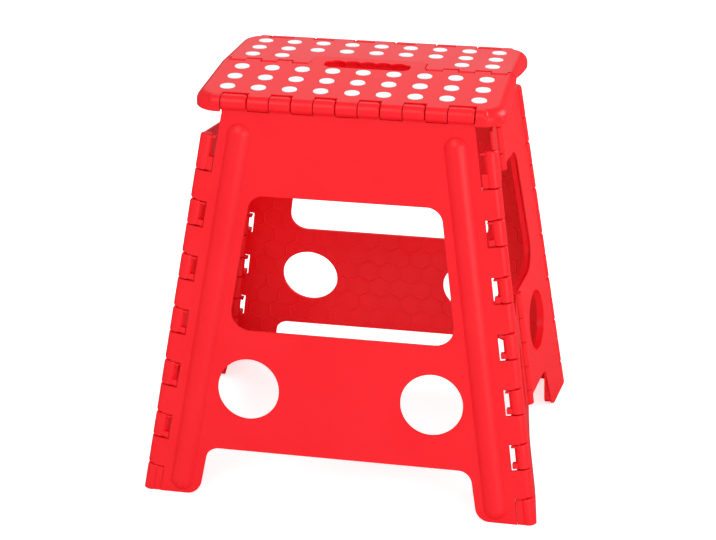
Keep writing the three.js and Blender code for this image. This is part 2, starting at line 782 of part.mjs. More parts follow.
// Built with Y towards the corner; hand -1 mirrors it across the seam
function sidePanel(frame, hand, isFront, lowShoulder, cornerClearance) {
  const flareOut = Math.sin(sideFlare);
  const flareAlong = hand * Math.cos(sideFlare);
  const upright = frameOf(vec(flareOut, flareAlong, 0), vec(0, 0, 1), vec(flareAlong, -flareOut, 0),
    vec(0, 0, 0));
  const slabFrom = (from, to) => (hand > 0 ? [from, to] : [-to, -from]);
  const wall = slabFrom(-sideFaceSetback - sideWall, -sideFaceSetback);
  const through = slabFrom(-overrun, overrun);
  const hole = ring(cornerLine(roundHoleHeight) / 2, roundHoleHeight, sideHoleRadius, holeSides);
  let body = slab(sideOutline(lowShoulder), [hole], ...wall, upright);
  body = cut(body, slab(sideWindow(), [], ...through, upright));

  const cornerDown = vec(0, hand * Math.sin(halfAngle), -Math.cos(halfAngle));
  const start = vec(0, 0, seamRun).addScaledVector(cornerDown, cornerRun);
  const along = cornerDown.clone().negate();
  const outward = vec(0, hand * Math.cos(halfAngle), Math.sin(halfAngle));
  const corner = frameOf(outward, along.clone().cross(outward), along, start);
  const clear = cornerBarrel + seatGap;
  body = cut(body, notches(cornerSpans(false), -clear, overrun, overrun, corner));
  body = join(body, barrels(cornerBarrel, cornerSpans(true), corner));
  body = cut(body, bore(cornerPin, cornerClearance, cornerPinStart, cornerPinEnd, corner));

  const seam = frameOf(vec(0, -hand, 0), vec(hand, 0, 0), vec(0, 0, 1), vec(0, 0, 0));
  body = cut(body, notches(sideSpans(!isFront), -sideBarrel - seatGap, overrun, overrun, seam));
  body = join(body, barrels(sideBarrel, sideSpans(isFront), seam));
  const bores = sidePinSpans().map(([from, to]) => bore(sidePin, pinClearance, from, to, seam));
  body = cut(body, bores);
  return cut(body, belowFloor(frame));
}

// Assembly

const group = new THREE.Group();

function add(name, body, finish, frame) {
  const mesh = new THREE.Mesh(toGeometry(body), new THREE.MeshStandardMaterial(finish));
  mesh.name = name;
  mesh.applyMatrix4(frame);
  group.add(mesh);
}

function pinBar(radius, from, to, frame) {
  return bar(radius, from + knuckleGap, to - knuckleGap, pinSides, frame);
}

add('front_leg_panel', legPanel(frontLegFrame, legTopRelief), red, frontLegFrame);
add('rear_leg_panel', legPanel(rearLegFrame, rearTopRelief), innerRed, rearLegFrame);
add('front_seat_half', seatHalf(false), red, frontSeatFrame);
add('rear_seat_half', seatHalf(true), red, rearSeatFrame);
add('right_front_side_panel', sidePanel(rightFrontFrame, -1, true, false, pinClearance), red, rightFrontFrame);
add('right_rear_side_panel', sidePanel(rightRearFrame, 1, false, true, openCornerClearance), red, rightRearFrame);
add('left_front_side_panel', sidePanel(leftFrontFrame, 1, true, true, pinClearance), red, leftFrontFrame);
add('left_rear_side_panel', sidePanel(leftRearFrame, -1, false, false, pinClearance), red, leftRearFrame);

[['front', frontLegFrame], ['rear', rearLegFrame]].forEach(([end, frame]) => {
  [['right', end === 'front' ? 1 : -1], ['left', end === 'front' ? -1 : 1]].forEach(([side, sign]) => {
    const pin = pinBar(cornerPin, cornerPinStart, cornerPinEnd, cornerAxis(sign));
    add(`${side}_${end}_corner_pin`, pin, steel, frame);
  });
  const hinge = crossAxis(seatAxisRun, -seatAxisSetback);
  add(`${end}_seat_pin`, pinBar(frontPin, -frontPinHalf, frontPinHalf, hinge), steel, frame);
});

const seatSeam = crossAxis(seamReach, seamRise);
add('right_seam_pin', pinBar(seamPin, seamPinStart, seamPinEnd, seatSeam), steel, frontSeatFrame);
add('left_seam_pin', pinBar(seamPin, -seamPinEnd, -seamPinStart, seatSeam), steel, frontSeatFrame);

[['right', rightRearFrame], ['left', leftFrontFrame]].forEach(([side, frame]) => {
  const [lower, upper] = sidePinSpans();
  add(`${side}_side_lower_pin`, pinBar(sidePin, ...lower), steel, frame);
  add(`${side}_side_upper_pin`, pinBar(sidePin, ...upper), steel, frame);
});

gripRowList(false).forEach(([columns, distance], index) => {
  add(`front_grip_row_${index + 1}`, gripRow(columns, distance), rubber, frontSeatFrame);
});
['rear_grip_row_3', 'rear_grip_row_2', 'rear_grip_row_1_left', 'rear_grip_row_1_right'].forEach((name, index) => {
  const [columns, distance] = gripRowList(true)[index];
  add(name, gripRow(columns, distance), rubber, rearSeatFrame);
});

export default group;
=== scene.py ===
# Folding step stool in red moulded plastic with white rubber dots.
# Every panel is gathered from closed shells, made in millimetres in the panel's own frame,
# then set in its place and scaled to metres.
import math
import bmesh
import bpy
from mathutils import Matrix, Vector


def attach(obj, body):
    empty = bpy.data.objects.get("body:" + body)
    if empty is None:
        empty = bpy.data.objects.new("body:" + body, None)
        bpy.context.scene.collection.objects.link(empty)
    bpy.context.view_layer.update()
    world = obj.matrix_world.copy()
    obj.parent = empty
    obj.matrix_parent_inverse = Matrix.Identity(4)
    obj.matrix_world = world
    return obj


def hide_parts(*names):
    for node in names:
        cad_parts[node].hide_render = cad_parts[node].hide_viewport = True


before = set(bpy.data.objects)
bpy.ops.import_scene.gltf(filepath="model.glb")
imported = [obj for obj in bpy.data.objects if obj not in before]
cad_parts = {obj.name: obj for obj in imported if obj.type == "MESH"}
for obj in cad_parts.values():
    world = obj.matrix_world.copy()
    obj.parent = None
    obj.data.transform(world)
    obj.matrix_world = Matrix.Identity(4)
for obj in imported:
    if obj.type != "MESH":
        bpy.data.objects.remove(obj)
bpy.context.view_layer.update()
scene = bpy.context.scene

# Stance of the stool
FOOT_HALF_DEPTH = 159.9
FOOT_HALF_WIDTH = 193.1
LEG_LEAN = math.radians(8.65)
EDGE_SPREAD = math.radians(8.63)
SIDE_FOLD = math.radians(4.0)
SEAT_TILT = math.radians(2.6)

# Walls and gaps
LEG_WALL = 3.2
SIDE_WALL = 2.8
SIDE_FACE = -0.5
SEAT_WALL = 3.0
WEB_WALL = 2.4
HALF_GAP = 0.25

# Barrels and knuckles
CORNER_BARREL = 6.8
CORNER_SLIT = 4.0
TOP_BARREL = 7.2
SEAM_BARREL = 4.7
SIDE_BARREL = 5.0
CORNER_PITCH = 54.0
CORNER_KNUCKLE = 27.0
TOP_KNUCKLE = 37.0
LEG_KNUCKLE_EXTRA = 1.8
TOP_AXIS_RUN = 387.3
TOP_AXIS_SETBACK = 0.8
TOP_PITCH = 20.7
TOP_HALF = 118.2
TOP_KNUCKLE_ROUND = 2.2
CORNER_GAPS = 6
CORNER_END = CORNER_GAPS * CORNER_PITCH + TOP_KNUCKLE

# Openings of the leg panel
ARCH_HEIGHT = 48.9
ARCH_TOP_HALF = 128.0
ARCH_FOOT_HALF = 136.6
WINDOW_BOTTOM = 169.5
WINDOW_TOP = 300.9
WINDOW_BOTTOM_HALF = 109.3
WINDOW_TOP_HALF = 90.1
WINDOW_LOW_ROUND = 18.0
WINDOW_HIGH_ROUND = 15.0
ARCH_ROUND = 13.0
FOOT_ROUND = 14.0
ROUND_HOLE = 30.0
ROUND_HOLE_HEIGHT = 111.3
ROUND_HOLE_SPREAD = 88.5

# Top edge, ribs and honeycomb of the leg panel
FRONT_RELIEF = 0.6
REAR_RELIEF = 2.6
LEG_CORNER_DROP = 3.4
RIB_HALF_WIDTH = 11.0
RIB_RISE = 5.2
RIB_FOOT = 8.0
RIB_TOP = 377.0
RIB_ROOT = 2.0
RIB_INBOARD = 30.3
COMB_WIDTH = 22.8
COMB_FOOT = 4.0
COMB_TOP = 400.0
COMB_LINE = 3.4
COMB_RISE = 0.8
COMB_CREST = 0.25
COMB_STEPS = 12
COMB_MARGIN = 1.5
COMB_EDGE = 16.0
COMB_LOW = 3.0
COMB_HIGH = 372.0
COMB_ARCH_SPREAD = 9.0

# Seat
SEAT_HALF_WIDTH = 145.6
SEAT_CORNER = 24.0
SEAT_EDGE = 10.0
SEAM_HALF_GAP = 0.4
SEAM_START = 57.5
SEAM_PITCH = 15.5
SEAM_KNUCKLES = 5
SEAM_END = SEAM_START + SEAM_KNUCKLES * SEAM_PITCH
SEAM_CAP = 4.0
SEAM_CUT = 0.6
FRONT_NOTCH = 0.7
REAR_NOTCH = 1.9
SINK = 0.5
TAB_HALF = 55.5
TAB_REACH = 19.7
TAB_ROUND = 5.0
TAB_GAP = 0.8
TAB_SKIRT = 7.0
CROSS_WEB_HALF = 117.0
END_BOSS = 12.0
GRIP_COLUMNS = 9
GRIP_GAP = 0.3
GRIP_PITCH = 29.5
GRIP_ROW_PITCH = 28.2
GRIP_FIRST = 21.3
GRIP_RADIUS = 7.5

# Hand hole, measured from the seam
HAND_HALF = 42.0
HAND_REAR = 7.5
HAND_FRONT = 10.0
HAND_REAR_ROUND = 4.0
HAND_FRONT_ROUND = 8.0
FINGERS = 5
FINGER_PITCH = 15.0
FINGER_RIDGE = 0.8
FINGER_DEPTH = 5.6
FINGER_ROUND = 9.0

# Side half panels
SIDE_TOP = 377.0
SIDE_SHOULDER = 361.0
SHOULDER_DIP = 9.5
SHOULDER_RUN = 44.0
SHOULDER_RISE = 16.0
SHOULDER_ROUND = 12.0
CORNER_OVERHANG = 3.5
SIDE_FLARE = math.radians(2.75)
RIM_DEPTH = 7.5
RIM_SETBACK = 0.8
ARCH_WIDTH = 65.0
SIDE_FOOT = 60.0
RIM_WALL = 2.2
FOOT_RIM_SHARE = 0.74
FOOT_RIM_DEPTH = 6.5
FOOT_RIM_FADE = 5.8
FOOT_RIM_END = 14.0
SIDE_WINDOW_INBOARD = 47.0
SIDE_WINDOW_LOW_ROUND = 26.0
SIDE_HOLE = 31.0
SIDE_STACK_START = 48.9
SIDE_FIRST = 16.1
SIDE_PITCH = 26.6
SIDE_UPPER_FIRST = 17.0
SIDE_UPPER_PITCH = 27.0
SIDE_LOWER_END = SIDE_STACK_START + SIDE_FIRST + 4 * SIDE_PITCH
SIDE_UPPER_END = WINDOW_TOP + SIDE_UPPER_FIRST + 2 * SIDE_UPPER_PITCH

# Blocks that close the side knuckles towards the leg panel, measured from the corner hinge
CLOSER_ROOT = 4.0
CLOSER_REACH = 9.8
CLOSER_TOP_REACH = 9.4
CLOSER_FOOT_REACH = 10.5

# Bores and steel pins
CORNER_BORE = 2.3
CORNER_BORE_OPEN = 2.9
TOP_BORE = 2.3
TOP_BORE_OPEN = 4.2
SEAM_BORE = 1.8
SIDE_BORE = 1.9
CORNER_PIN = 2.0
SEAM_PIN = 1.5
SIDE_PIN = 1.6
PIN_SHY = 4.5

# Fineness of rounds, and the measures by which edges are told apart
ROUND_STEPS = 8
BARREL_STEPS = 40
CIRCLE_STEPS = 64
GRIP_STEPS = 32
CLOSE = 0.01
SKIN = 0.02
SHARP_TURN = 1.0
SMOOTH_ANGLE = math.radians(38)


# Shells

def only(items, kind):
    return [item for item in items if isinstance(item, kind)]


def raise_walls(bm, low, high):
    """Moves a flat sheet to its lower height and grows it up to the higher one."""
    bmesh.ops.translate(bm, verts=bm.verts[:], vec=(0, 0, low))
    grown = bmesh.ops.extrude_face_region(bm, geom=bm.faces[:])
    upper = only(grown["geom"], bmesh.types.BMVert)
    bmesh.ops.translate(bm, verts=upper, vec=(0, 0, high - low))
    bmesh.ops.recalc_face_normals(bm, faces=bm.faces[:])


def fill_between(bm):
    """Fills a flat set of loops, leaving the inner loops open."""
    bmesh.ops.delete(bm, geom=bm.faces[:], context="FACES_ONLY")
    bmesh.ops.triangle_fill(bm, use_beauty=True, edges=bm.edges[:], normal=Vector((0, 0, 1)))
    inner = [edge for edge in bm.edges if len(edge.link_faces) == 2]
    bmesh.ops.dissolve_limit(bm, angle_limit=0.01, edges=inner, verts=[])


def draw_loop(bm, corners):
    """A closed outline through corners (x, y, radius), each corner rounded to its radius."""
    verts = [bm.verts.new((x, y, 0)) for x, y, radius in corners]
    bm.faces.new(verts)
    for index, vert in enumerate(verts):
        radius = corners[index][2]
        if radius == 0:
            continue
        here = Vector(corners[index][:2])
        back = (Vector(corners[index - 1][:2]) - here).normalized()
        ahead = (Vector(corners[(index + 1) % len(corners)][:2]) - here).normalized()
        half = math.acos(max(-1, min(1, back.dot(ahead)))) / 2
        bmesh.ops.bevel(bm, geom=[vert], offset=radius / math.tan(half), segments=ROUND_STEPS,
                        profile=0.5, affect="VERTICES", material=-1, clamp_overlap=False)


def soften(bm, edges, size, segments=2):
    bmesh.ops.bevel(bm, geom=edges, offset=size, segments=segments, profile=0.5,
                    affect="EDGES", material=-1, clamp_overlap=True)


def sheet_shell(outline, holes, low, high, edge, circles=()):
    """A flat wall between two heights with softened rims."""
    bm = bmesh.new()
    draw_loop(bm, outline)
    for hole in holes:
        draw_loop(bm, hole)
    for x, y, radius, steps in circles:
        bmesh.ops.create_circle(bm, cap_ends=False, radius=radius, segments=steps,
                                matrix=Matrix.Translation((x, y, 0)))
    fill_between(bm)
    raise_walls(bm, low, high)
    rims = []
    for item in bm.edges:
        level = abs(item.verts[0].co.z - item.verts[1].co.z) < CLOSE
        if level and item.calc_face_angle(0) > SHARP_TURN:
            rims.append(item)
    if edge:
        soften(bm, rims, edge)
    return bm


def ring_shell(radius, bore, low, high, edge_low, edge_high, segments=2):
    """A hinge barrel along Z, open for its pin."""
    bm = bmesh.new()
    places = [(bore, low), (radius, low), (radius, high), (bore, high)]
    verts = [bm.verts.new((x, 0, z)) for x, z in places]
    edges = [bm.edges.new((verts[index - 1], verts[index])) for index in range(4)]
    bmesh.ops.spin(bm, geom=verts + edges, cent=(0, 0, 0), axis=(0, 0, 1), dvec=(0, 0, 0),
                   angle=2 * math.pi, steps=BARREL_STEPS, use_merge=True, use_duplicate=False)
    bmesh.ops.remove_doubles(bm, verts=bm.verts[:], dist=0.001)
    bmesh.ops.recalc_face_normals(bm, faces=bm.faces[:])
    for level, size in ((low, edge_low), (high, edge_high)):
        rims = []
        for item in bm.edges:
            outer = all(vert.co.xy.length > radius - CLOSE for vert in item.verts)
            if outer and all(abs(vert.co.z - level) < CLOSE for vert in item.verts):
                rims.append(item)
        soften(bm, rims, size, segments)
    return bm


def rod_shell(radius, low, high, edge, steps=BARREL_STEPS):
    bm = bmesh.new()
    bmesh.ops.create_cone(bm, cap_ends=True, segments=steps, radius1=radius, radius2=radius,
                          depth=high - low, matrix=Matrix.Translation((0, 0, (low + high) / 2)))
    rims = [item for item in bm.edges if item.calc_face_angle(0) > SHARP_TURN]
    soften(bm, rims, edge)
    return bm


def block_shell(x0, x1, y0, y1, z0, z1, edge=0.4):
    bm = bmesh.new()
    middle = Vector(((x0 + x1) / 2, (y0 + y1) / 2, (z0 + z1) / 2))
    size = Matrix.Diagonal((x1 - x0, y1 - y0, z1 - z0, 1))
    bmesh.ops.create_cube(bm, size=1, matrix=Matrix.Translation(middle) @ size)
    soften(bm, bm.edges[:], edge)
    return bm


def strip_shell(profile, moves):
    """A moulded strip: a profile (y, z) at x = 0 that goes straight on or turns."""
    bm = bmesh.new()
    face = bm.faces.new([bm.verts.new((0, y, z)) for y, z in profile])
    end = [face]
    for move in moves:
        if move[0] == "go":
            grown = bmesh.ops.extrude_face_region(bm, geom=end)
            verts = only(grown["geom"], bmesh.types.BMVert)
            bmesh.ops.translate(bm, verts=verts, vec=(move[1], move[2], 0))
            end = only(grown["geom"], bmesh.types.BMFace)
        else:
            turned = bmesh.ops.spin(bm, geom=end, cent=(move[1], move[2], 0), axis=(0, 0, 1),
                                    dvec=(0, 0, 0), angle=move[3], steps=move[4],
                                    use_merge=False, use_duplicate=False)
            end = only(turned["geom_last"], bmesh.types.BMFace)
    bmesh.ops.recalc_face_normals(bm, faces=bm.faces[:])
    return bm


def rib_shell(half_width, rise, low, high, base):
    """A half-round rib along Y, standing on z = 0, with both ends rounded."""
    bm = bmesh.new()
    size = Matrix.Diagonal((half_width, half_width, rise, 1)) @ Matrix.Rotation(math.pi / 2, 4, "X")
    bmesh.ops.create_uvsphere(bm, u_segments=32, v_segments=24, radius=1, matrix=size)
    everything = bm.verts[:] + bm.edges[:] + bm.faces[:]
    bmesh.ops.bisect_plane(bm, geom=everything, plane_co=(0, 0, 0), plane_no=(0, 0, -1),
                           clear_outer=True)
    for vert in bm.verts:
        vert.co.z = rise * (vert.co.z / rise) ** 2
    upper = [vert for vert in bm.verts if vert.co.y > -1e-4]
    lower = [vert for vert in bm.verts if vert.co.y <= -1e-4]
    bmesh.ops.translate(bm, verts=upper, vec=(0, high - half_width, 0))
    bmesh.ops.translate(bm, verts=lower, vec=(0, low + half_width, 0))
    ground = [item for item in bm.edges if item.is_boundary]
    grown = bmesh.ops.extrude_edge_only(bm, edges=ground)
    verts = only(grown["geom"], bmesh.types.BMVert)
    bmesh.ops.translate(bm, verts=verts, vec=(0, 0, -base))
    bmesh.ops.holes_fill(bm, edges=[item for item in bm.edges if item.is_boundary], sides=0)
    bmesh.ops.recalc_face_normals(bm, faces=bm.faces[:])
    return bm


def trim(bm, point, outward):
    """Cuts away what lies beyond a plane and closes the cut."""
    everything = bm.verts[:] + bm.edges[:] + bm.faces[:]
    bmesh.ops.bisect_plane(bm, geom=everything, plane_co=point, plane_no=outward, clear_outer=True)
    rims = [item for item in bm.edges if item.is_boundary]
    if rims:
        bmesh.ops.triangle_fill(bm, use_beauty=True, edges=rims, normal=Vector(outward))
        bmesh.ops.recalc_face_normals(bm, faces=bm.faces[:])
    return bm


class Moulding:
    """One moulded piece, gathered from shells in the stool's frame."""

    def __init__(self, place):
        self.place = place
        self.bm = bmesh.new()

    def take(self, shell, inside=Matrix(), on_floor=False):
        matrix = self.place @ inside
        shell.transform(matrix)
        if matrix.determinant() < 0:
            bmesh.ops.reverse_faces(shell, faces=shell.faces[:])
        if on_floor and min(vert.co.z for vert in shell.verts) < 0:
            trim(shell, (0, 0, 0), (0, 0, -1))
        mesh = bpy.data.meshes.new("shell")
        shell.to_mesh(mesh)
        shell.free()
        self.bm.from_mesh(mesh)
        bpy.data.meshes.remove(mesh)

    def finish(self, name, body, finish, slot):
        bmesh.ops.scale(self.bm, vec=(0.001, 0.001, 0.001), verts=self.bm.verts[:])
        mesh = bpy.data.meshes.new(name + "_moulding")
        self.bm.to_mesh(mesh)
        self.bm.free()
        mesh.shade_smooth()
        mesh.set_sharp_from_angle(angle=SMOOTH_ANGLE)
        mesh.materials.append(finish)
        piece = bpy.data.objects.new(name + "_moulding", mesh)
        scene.collection.objects.link(piece)
        weigh = piece.modifiers.new("even_flats", "WEIGHTED_NORMAL")
        weigh.keep_sharp = True
        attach(piece, body)
        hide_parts(name)


# Places

def place_of(x, y, z, origin):
    matrix = Matrix((x, y, z)).transposed().to_4x4()
    matrix.translation = origin
    return matrix


HALF_TURN = Matrix.Rotation(math.pi, 4, "Z")
leg_out = Vector((0, -math.cos(LEG_LEAN), math.sin(LEG_LEAN)))
leg_up = Vector((0, math.sin(LEG_LEAN), math.cos(LEG_LEAN)))
FRONT_LEG = place_of(Vector((1, 0, 0)), leg_up, leg_out, Vector((0, -FOOT_HALF_DEPTH, 0)))
REAR_LEG = HALF_TURN @ FRONT_LEG
AXIS_FOOT = FOOT_HALF_WIDTH - CORNER_BARREL / math.cos(EDGE_SPREAD)


def corner_in_leg(side):
    """The corner hinge in a leg panel: X outwards, Z up the hinge."""
    along = Vector((-side * math.sin(EDGE_SPREAD), math.cos(EDGE_SPREAD), 0))
    outward = Vector((side * math.cos(EDGE_SPREAD), math.sin(EDGE_SPREAD), 0))
    foot = Vector((side * AXIS_FOOT, 0, -CORNER_BARREL))
    return place_of(outward, along.cross(outward), along, foot)


corner = FRONT_LEG @ corner_in_leg(1)
corner_foot = corner.translation
corner_up = corner.col[2].xyz
corner_run = -corner_foot.y / corner_up.y
apex = corner_foot + corner_up * corner_run
HALF_ANGLE = math.asin(corner_up.y / math.cos(SIDE_FOLD))
fold_share = math.atan(math.tan(HALF_ANGLE) * math.sin(SIDE_FOLD))
seam_lean = math.atan2(-corner_up.x, corner_up.z) - fold_share
seam_up = Vector((-math.sin(seam_lean), 0, math.cos(seam_lean)))
SEAM_RUN = apex.z / seam_up.z
seam_foot = apex - seam_up * SEAM_RUN


def side_place(to_rear):
    corner_here = Vector((corner_up.x, -corner_up.y if to_rear else corner_up.y, corner_up.z))
    to_corner = (seam_up * corner_here.dot(seam_up) - corner_here).normalized()
    across = to_corner if to_rear else -to_corner
    return place_of(across.cross(seam_up), across, seam_up, seam_foot)


RIGHT_REAR = side_place(True)
RIGHT_FRONT = side_place(False)
LEFT_FRONT = HALF_TURN @ RIGHT_REAR
LEFT_REAR = HALF_TURN @ RIGHT_FRONT

seat_axis = FRONT_LEG @ Vector((0, TOP_AXIS_RUN, -TOP_AXIS_SETBACK))
seat_in = Vector((0, math.cos(SEAT_TILT), math.sin(SEAT_TILT)))
seat_out = Vector((0, -math.sin(SEAT_TILT), math.cos(SEAT_TILT)))
FRONT_SEAT = place_of(Vector((1, 0, 0)), seat_in, seat_out, seat_axis)
REAR_SEAT = HALF_TURN @ FRONT_SEAT
SEAM_RISE = TOP_BARREL - SEAM_BARREL
SEAM_REACH = (-seat_axis.y + SEAM_RISE * math.sin(SEAT_TILT)) / math.cos(SEAT_TILT)
SEAM_NEAR = SEAM_REACH - SEAM_HALF_GAP
SEAM_DEEP = SEAM_REACH - SEAM_BARREL - SEAM_CUT


def along_x(y, z):
    """A hinge that runs along X through (y, z)."""
    return place_of(Vector((0, 1, 0)), Vector((0, 0, 1)), Vector((1, 0, 0)), Vector((0, y, z)))


def corner_spans(on_side):
    spans = []
    for index in range(CORNER_GAPS + 1):
        start = index * CORNER_PITCH
        end = start + (TOP_KNUCKLE if index == CORNER_GAPS else CORNER_KNUCKLE)
        if on_side:
            spans.append((start + (LEG_KNUCKLE_EXTRA if index else 0), end))
        elif index < CORNER_GAPS:
            spans.append((end, start + CORNER_PITCH + LEG_KNUCKLE_EXTRA))
    return spans


def top_spans(on_leg):
    spans = []
    last = 5
    for index in range(-last, last + 1):
        start = -TOP_HALF if index == -last else (index - 0.5) * TOP_PITCH
        end = TOP_HALF if index == last else (index + 0.5) * TOP_PITCH
        if (index % 2 == 1) == on_leg:
            spans.append((start, end))
    return spans


def narrowed(spans):
    """Spans with the gap beside each knuckle taken off."""
    return [(start + HALF_GAP, end - HALF_GAP) for start, end in spans]


# Finishes

def preset(node, **values):
    """Sets inputs of a node by their labels, with _ for a space."""
    for label, value in values.items():
        node.inputs[label.replace("_", " ")].default_value = value


def add(tree, kind, **values):
    node = tree.nodes.new("ShaderNode" + kind)
    preset(node, **values)
    return node


def add_colour_mix(tree, a, b):
    node = add(tree, "Mix")
    node.data_type = "RGBA"
    preset(node, A=a, B=b)
    return node


def connect(tree, *pairs):
    for source, output, target, label in pairs:
        tree.links.new(source.outputs[output], target.inputs[label])


def new_group(name, inputs, outputs):
    group = bpy.data.node_groups.new(name, "ShaderNodeTree")
    for label, kind, value in inputs:
        socket = group.interface.new_socket(name=label, in_out="INPUT", socket_type=kind)
        socket.default_value = value
    for label, kind in outputs:
        group.interface.new_socket(name=label, in_out="OUTPUT", socket_type=kind)
    return group, group.nodes.new("NodeGroupInput"), group.nodes.new("NodeGroupOutput")


def moulded_surface():
    """Fine pebbling and slow flow ripples of a moulding, with faint tone changes."""
    group, given, result = new_group(
        "moulded_surface",
        [("Vector", "NodeSocketVector", (0, 0, 0)), ("Pebble Size", "NodeSocketFloat", 900.0),
         ("Ripple Size", "NodeSocketFloat", 14.0), ("Ripple Share", "NodeSocketFloat", 0.5)],
        [("Height", "NodeSocketFloat"), ("Tone", "NodeSocketFloat")])
    pebble = add(group, "TexNoise", Detail=2.0)
    ripple = add(group, "TexNoise", Detail=1.0, Distortion=0.6)
    blend = add(group, "Mix")
    connect(group,
            (given, "Vector", pebble, "Vector"), (given, "Vector", ripple, "Vector"),
            (given, "Pebble Size", pebble, "Scale"), (given, "Ripple Size", ripple, "Scale"),
            (given, "Ripple Share", blend, "Factor"),
            (pebble, "Fac", blend, "A"), (ripple, "Fac", blend, "B"),
            (blend, "Result", result, "Height"), (ripple, "Fac", result, "Tone"))
    return group


SURFACE = moulded_surface()
ROUGHNESS_SPREAD = 0.05
RED = ((0.84, 0.002, 0.008, 1), (0.89, 0.003, 0.011, 1))
WHITE = ((0.80, 0.92, 0.95, 1), (0.84, 0.94, 0.96, 1))


def new_finish(name):
    finish = bpy.data.materials.new(name)
    finish.use_nodes = True
    return finish, finish.node_tree, finish.node_tree.nodes["Principled BSDF"]


def moulded_finish(name, tones, roughness, pebble, ripple, share, depth, specular):
    finish, tree, shader = new_finish(name)
    preset(shader, Specular_IOR_Level=specular)
    place = add(tree, "TexCoord")
    surface = add(tree, "Group")
    surface.node_tree = SURFACE
    preset(surface, Pebble_Size=pebble, Ripple_Size=ripple, Ripple_Share=share)
    tone = add_colour_mix(tree, *tones)
    gloss = add(tree, "MapRange", To_Min=roughness - ROUGHNESS_SPREAD,
                To_Max=roughness + ROUGHNESS_SPREAD)
    bump = add(tree, "Bump", Strength=1.0, Distance=depth)
    connect(tree,
            (place, "Object", surface, "Vector"), (surface, "Tone", tone, "Factor"),
            (tone, "Result", shader, "Base Color"), (surface, "Tone", gloss, "Value"),
            (gloss, "Result", shader, "Roughness"), (surface, "Height", bump, "Height"),
            (bump, "Normal", shader, "Normal"))
    return finish


red_plastic = moulded_finish("red_plastic", RED, roughness=0.34, pebble=1100.0, ripple=16.0,
                             share=0.6, depth=0.00012, specular=0.42)
red_tread = moulded_finish("red_tread", RED, roughness=0.34, pebble=1100.0, ripple=16.0,
                           share=0.6, depth=0.00008, specular=0.4)
white_rubber = moulded_finish("white_rubber", WHITE, roughness=0.62, pebble=1600.0, ripple=60.0,
                              share=0.3, depth=0.00008, specular=0.3)


def steel_finish():
    finish, tree, shader = new_finish("drawn_steel")
    preset(shader, Metallic=1.0)
    place = add(tree, "TexCoord")
    streak = add(tree, "TexNoise", Scale=700.0, Detail=3.0)
    shade = add_colour_mix(tree, (0.50, 0.51, 0.53, 1), (0.66, 0.67, 0.69, 1))
    rough = add(tree, "MapRange", To_Min=0.24, To_Max=0.42)
    connect(tree,
            (place, "Object", streak, "Vector"), (streak, "Fac", shade, "Factor"),
            (shade, "Result", shader, "Base Color"), (streak, "Fac", rough, "Value"),
            (rough, "Result", shader, "Roughness"))
    return finish


steel = steel_finish()


# Leg panels

def beside_corner(side, run, inboard):
    """A point of the leg panel at a run up the corner hinge and a distance inboard of it."""
    x = AXIS_FOOT - run * math.sin(EDGE_SPREAD) - inboard * math.cos(EDGE_SPREAD)
    y = run * math.cos(EDGE_SPREAD) - inboard * math.sin(EDGE_SPREAD)
    return (side * x, y, 0)


def leg_edge(side):
    """The knuckled outer edge of a leg panel, from the foot to the top."""
    deep = CORNER_BARREL + CORNER_SLIT
    low = deep * math.tan(EDGE_SPREAD)
    points = []
    for start, end in narrowed(corner_spans(False)):
        points += [beside_corner(side, low, deep), beside_corner(side, start, deep),
                   beside_corner(side, start, 0), beside_corner(side, end, 0)]
        low = end
    points.append(beside_corner(side, low, deep))
    return points


def leg_top(top_relief):
    """The top edge with its knuckles, from the right to the left."""
    below = TOP_AXIS_RUN - TOP_BARREL - top_relief
    corner_low = below - LEG_CORNER_DROP
    run = (corner_low + 1.5) / math.cos(EDGE_SPREAD)
    edge = beside_corner(1, run, CORNER_BARREL + CORNER_SLIT)[0]
    points = [(edge, corner_low, 0)]
    for start, end in reversed(top_spans(True)):
        before = corner_low if end == TOP_HALF else below
        after = corner_low if start == -TOP_HALF else below
        points += [(end - HALF_GAP, before, 0), (end - HALF_GAP, TOP_AXIS_RUN, 0),
                   (start + HALF_GAP, TOP_AXIS_RUN, 0), (start + HALF_GAP, after, 0)]
    return points + [(-edge, corner_low, 0)]


def clear_of_openings(point):
    """Whether a point on the inner face of a leg panel can bear the honeycomb."""
    x = abs(point.x)
    y = point.y
    edge = AXIS_FOOT - y * math.tan(EDGE_SPREAD) - COMB_EDGE
    if x > edge or y < COMB_LOW or y > COMB_HIGH:
        return False
    arch = ARCH_TOP_HALF + COMB_ARCH_SPREAD * (1 - y / ARCH_HEIGHT)
    if y < ARCH_HEIGHT + COMB_MARGIN and x < arch + COMB_MARGIN:
        return False
    share = (y - WINDOW_BOTTOM) / (WINDOW_TOP - WINDOW_BOTTOM)
    window = WINDOW_BOTTOM_HALF + share * (WINDOW_TOP_HALF - WINDOW_BOTTOM_HALF)
    if WINDOW_BOTTOM - COMB_MARGIN < y < WINDOW_TOP + COMB_MARGIN and x < window + COMB_MARGIN:
        return False
    return math.hypot(x - ROUND_HOLE_SPREAD, y - ROUND_HOLE_HEIGHT) > ROUND_HOLE + COMB_MARGIN


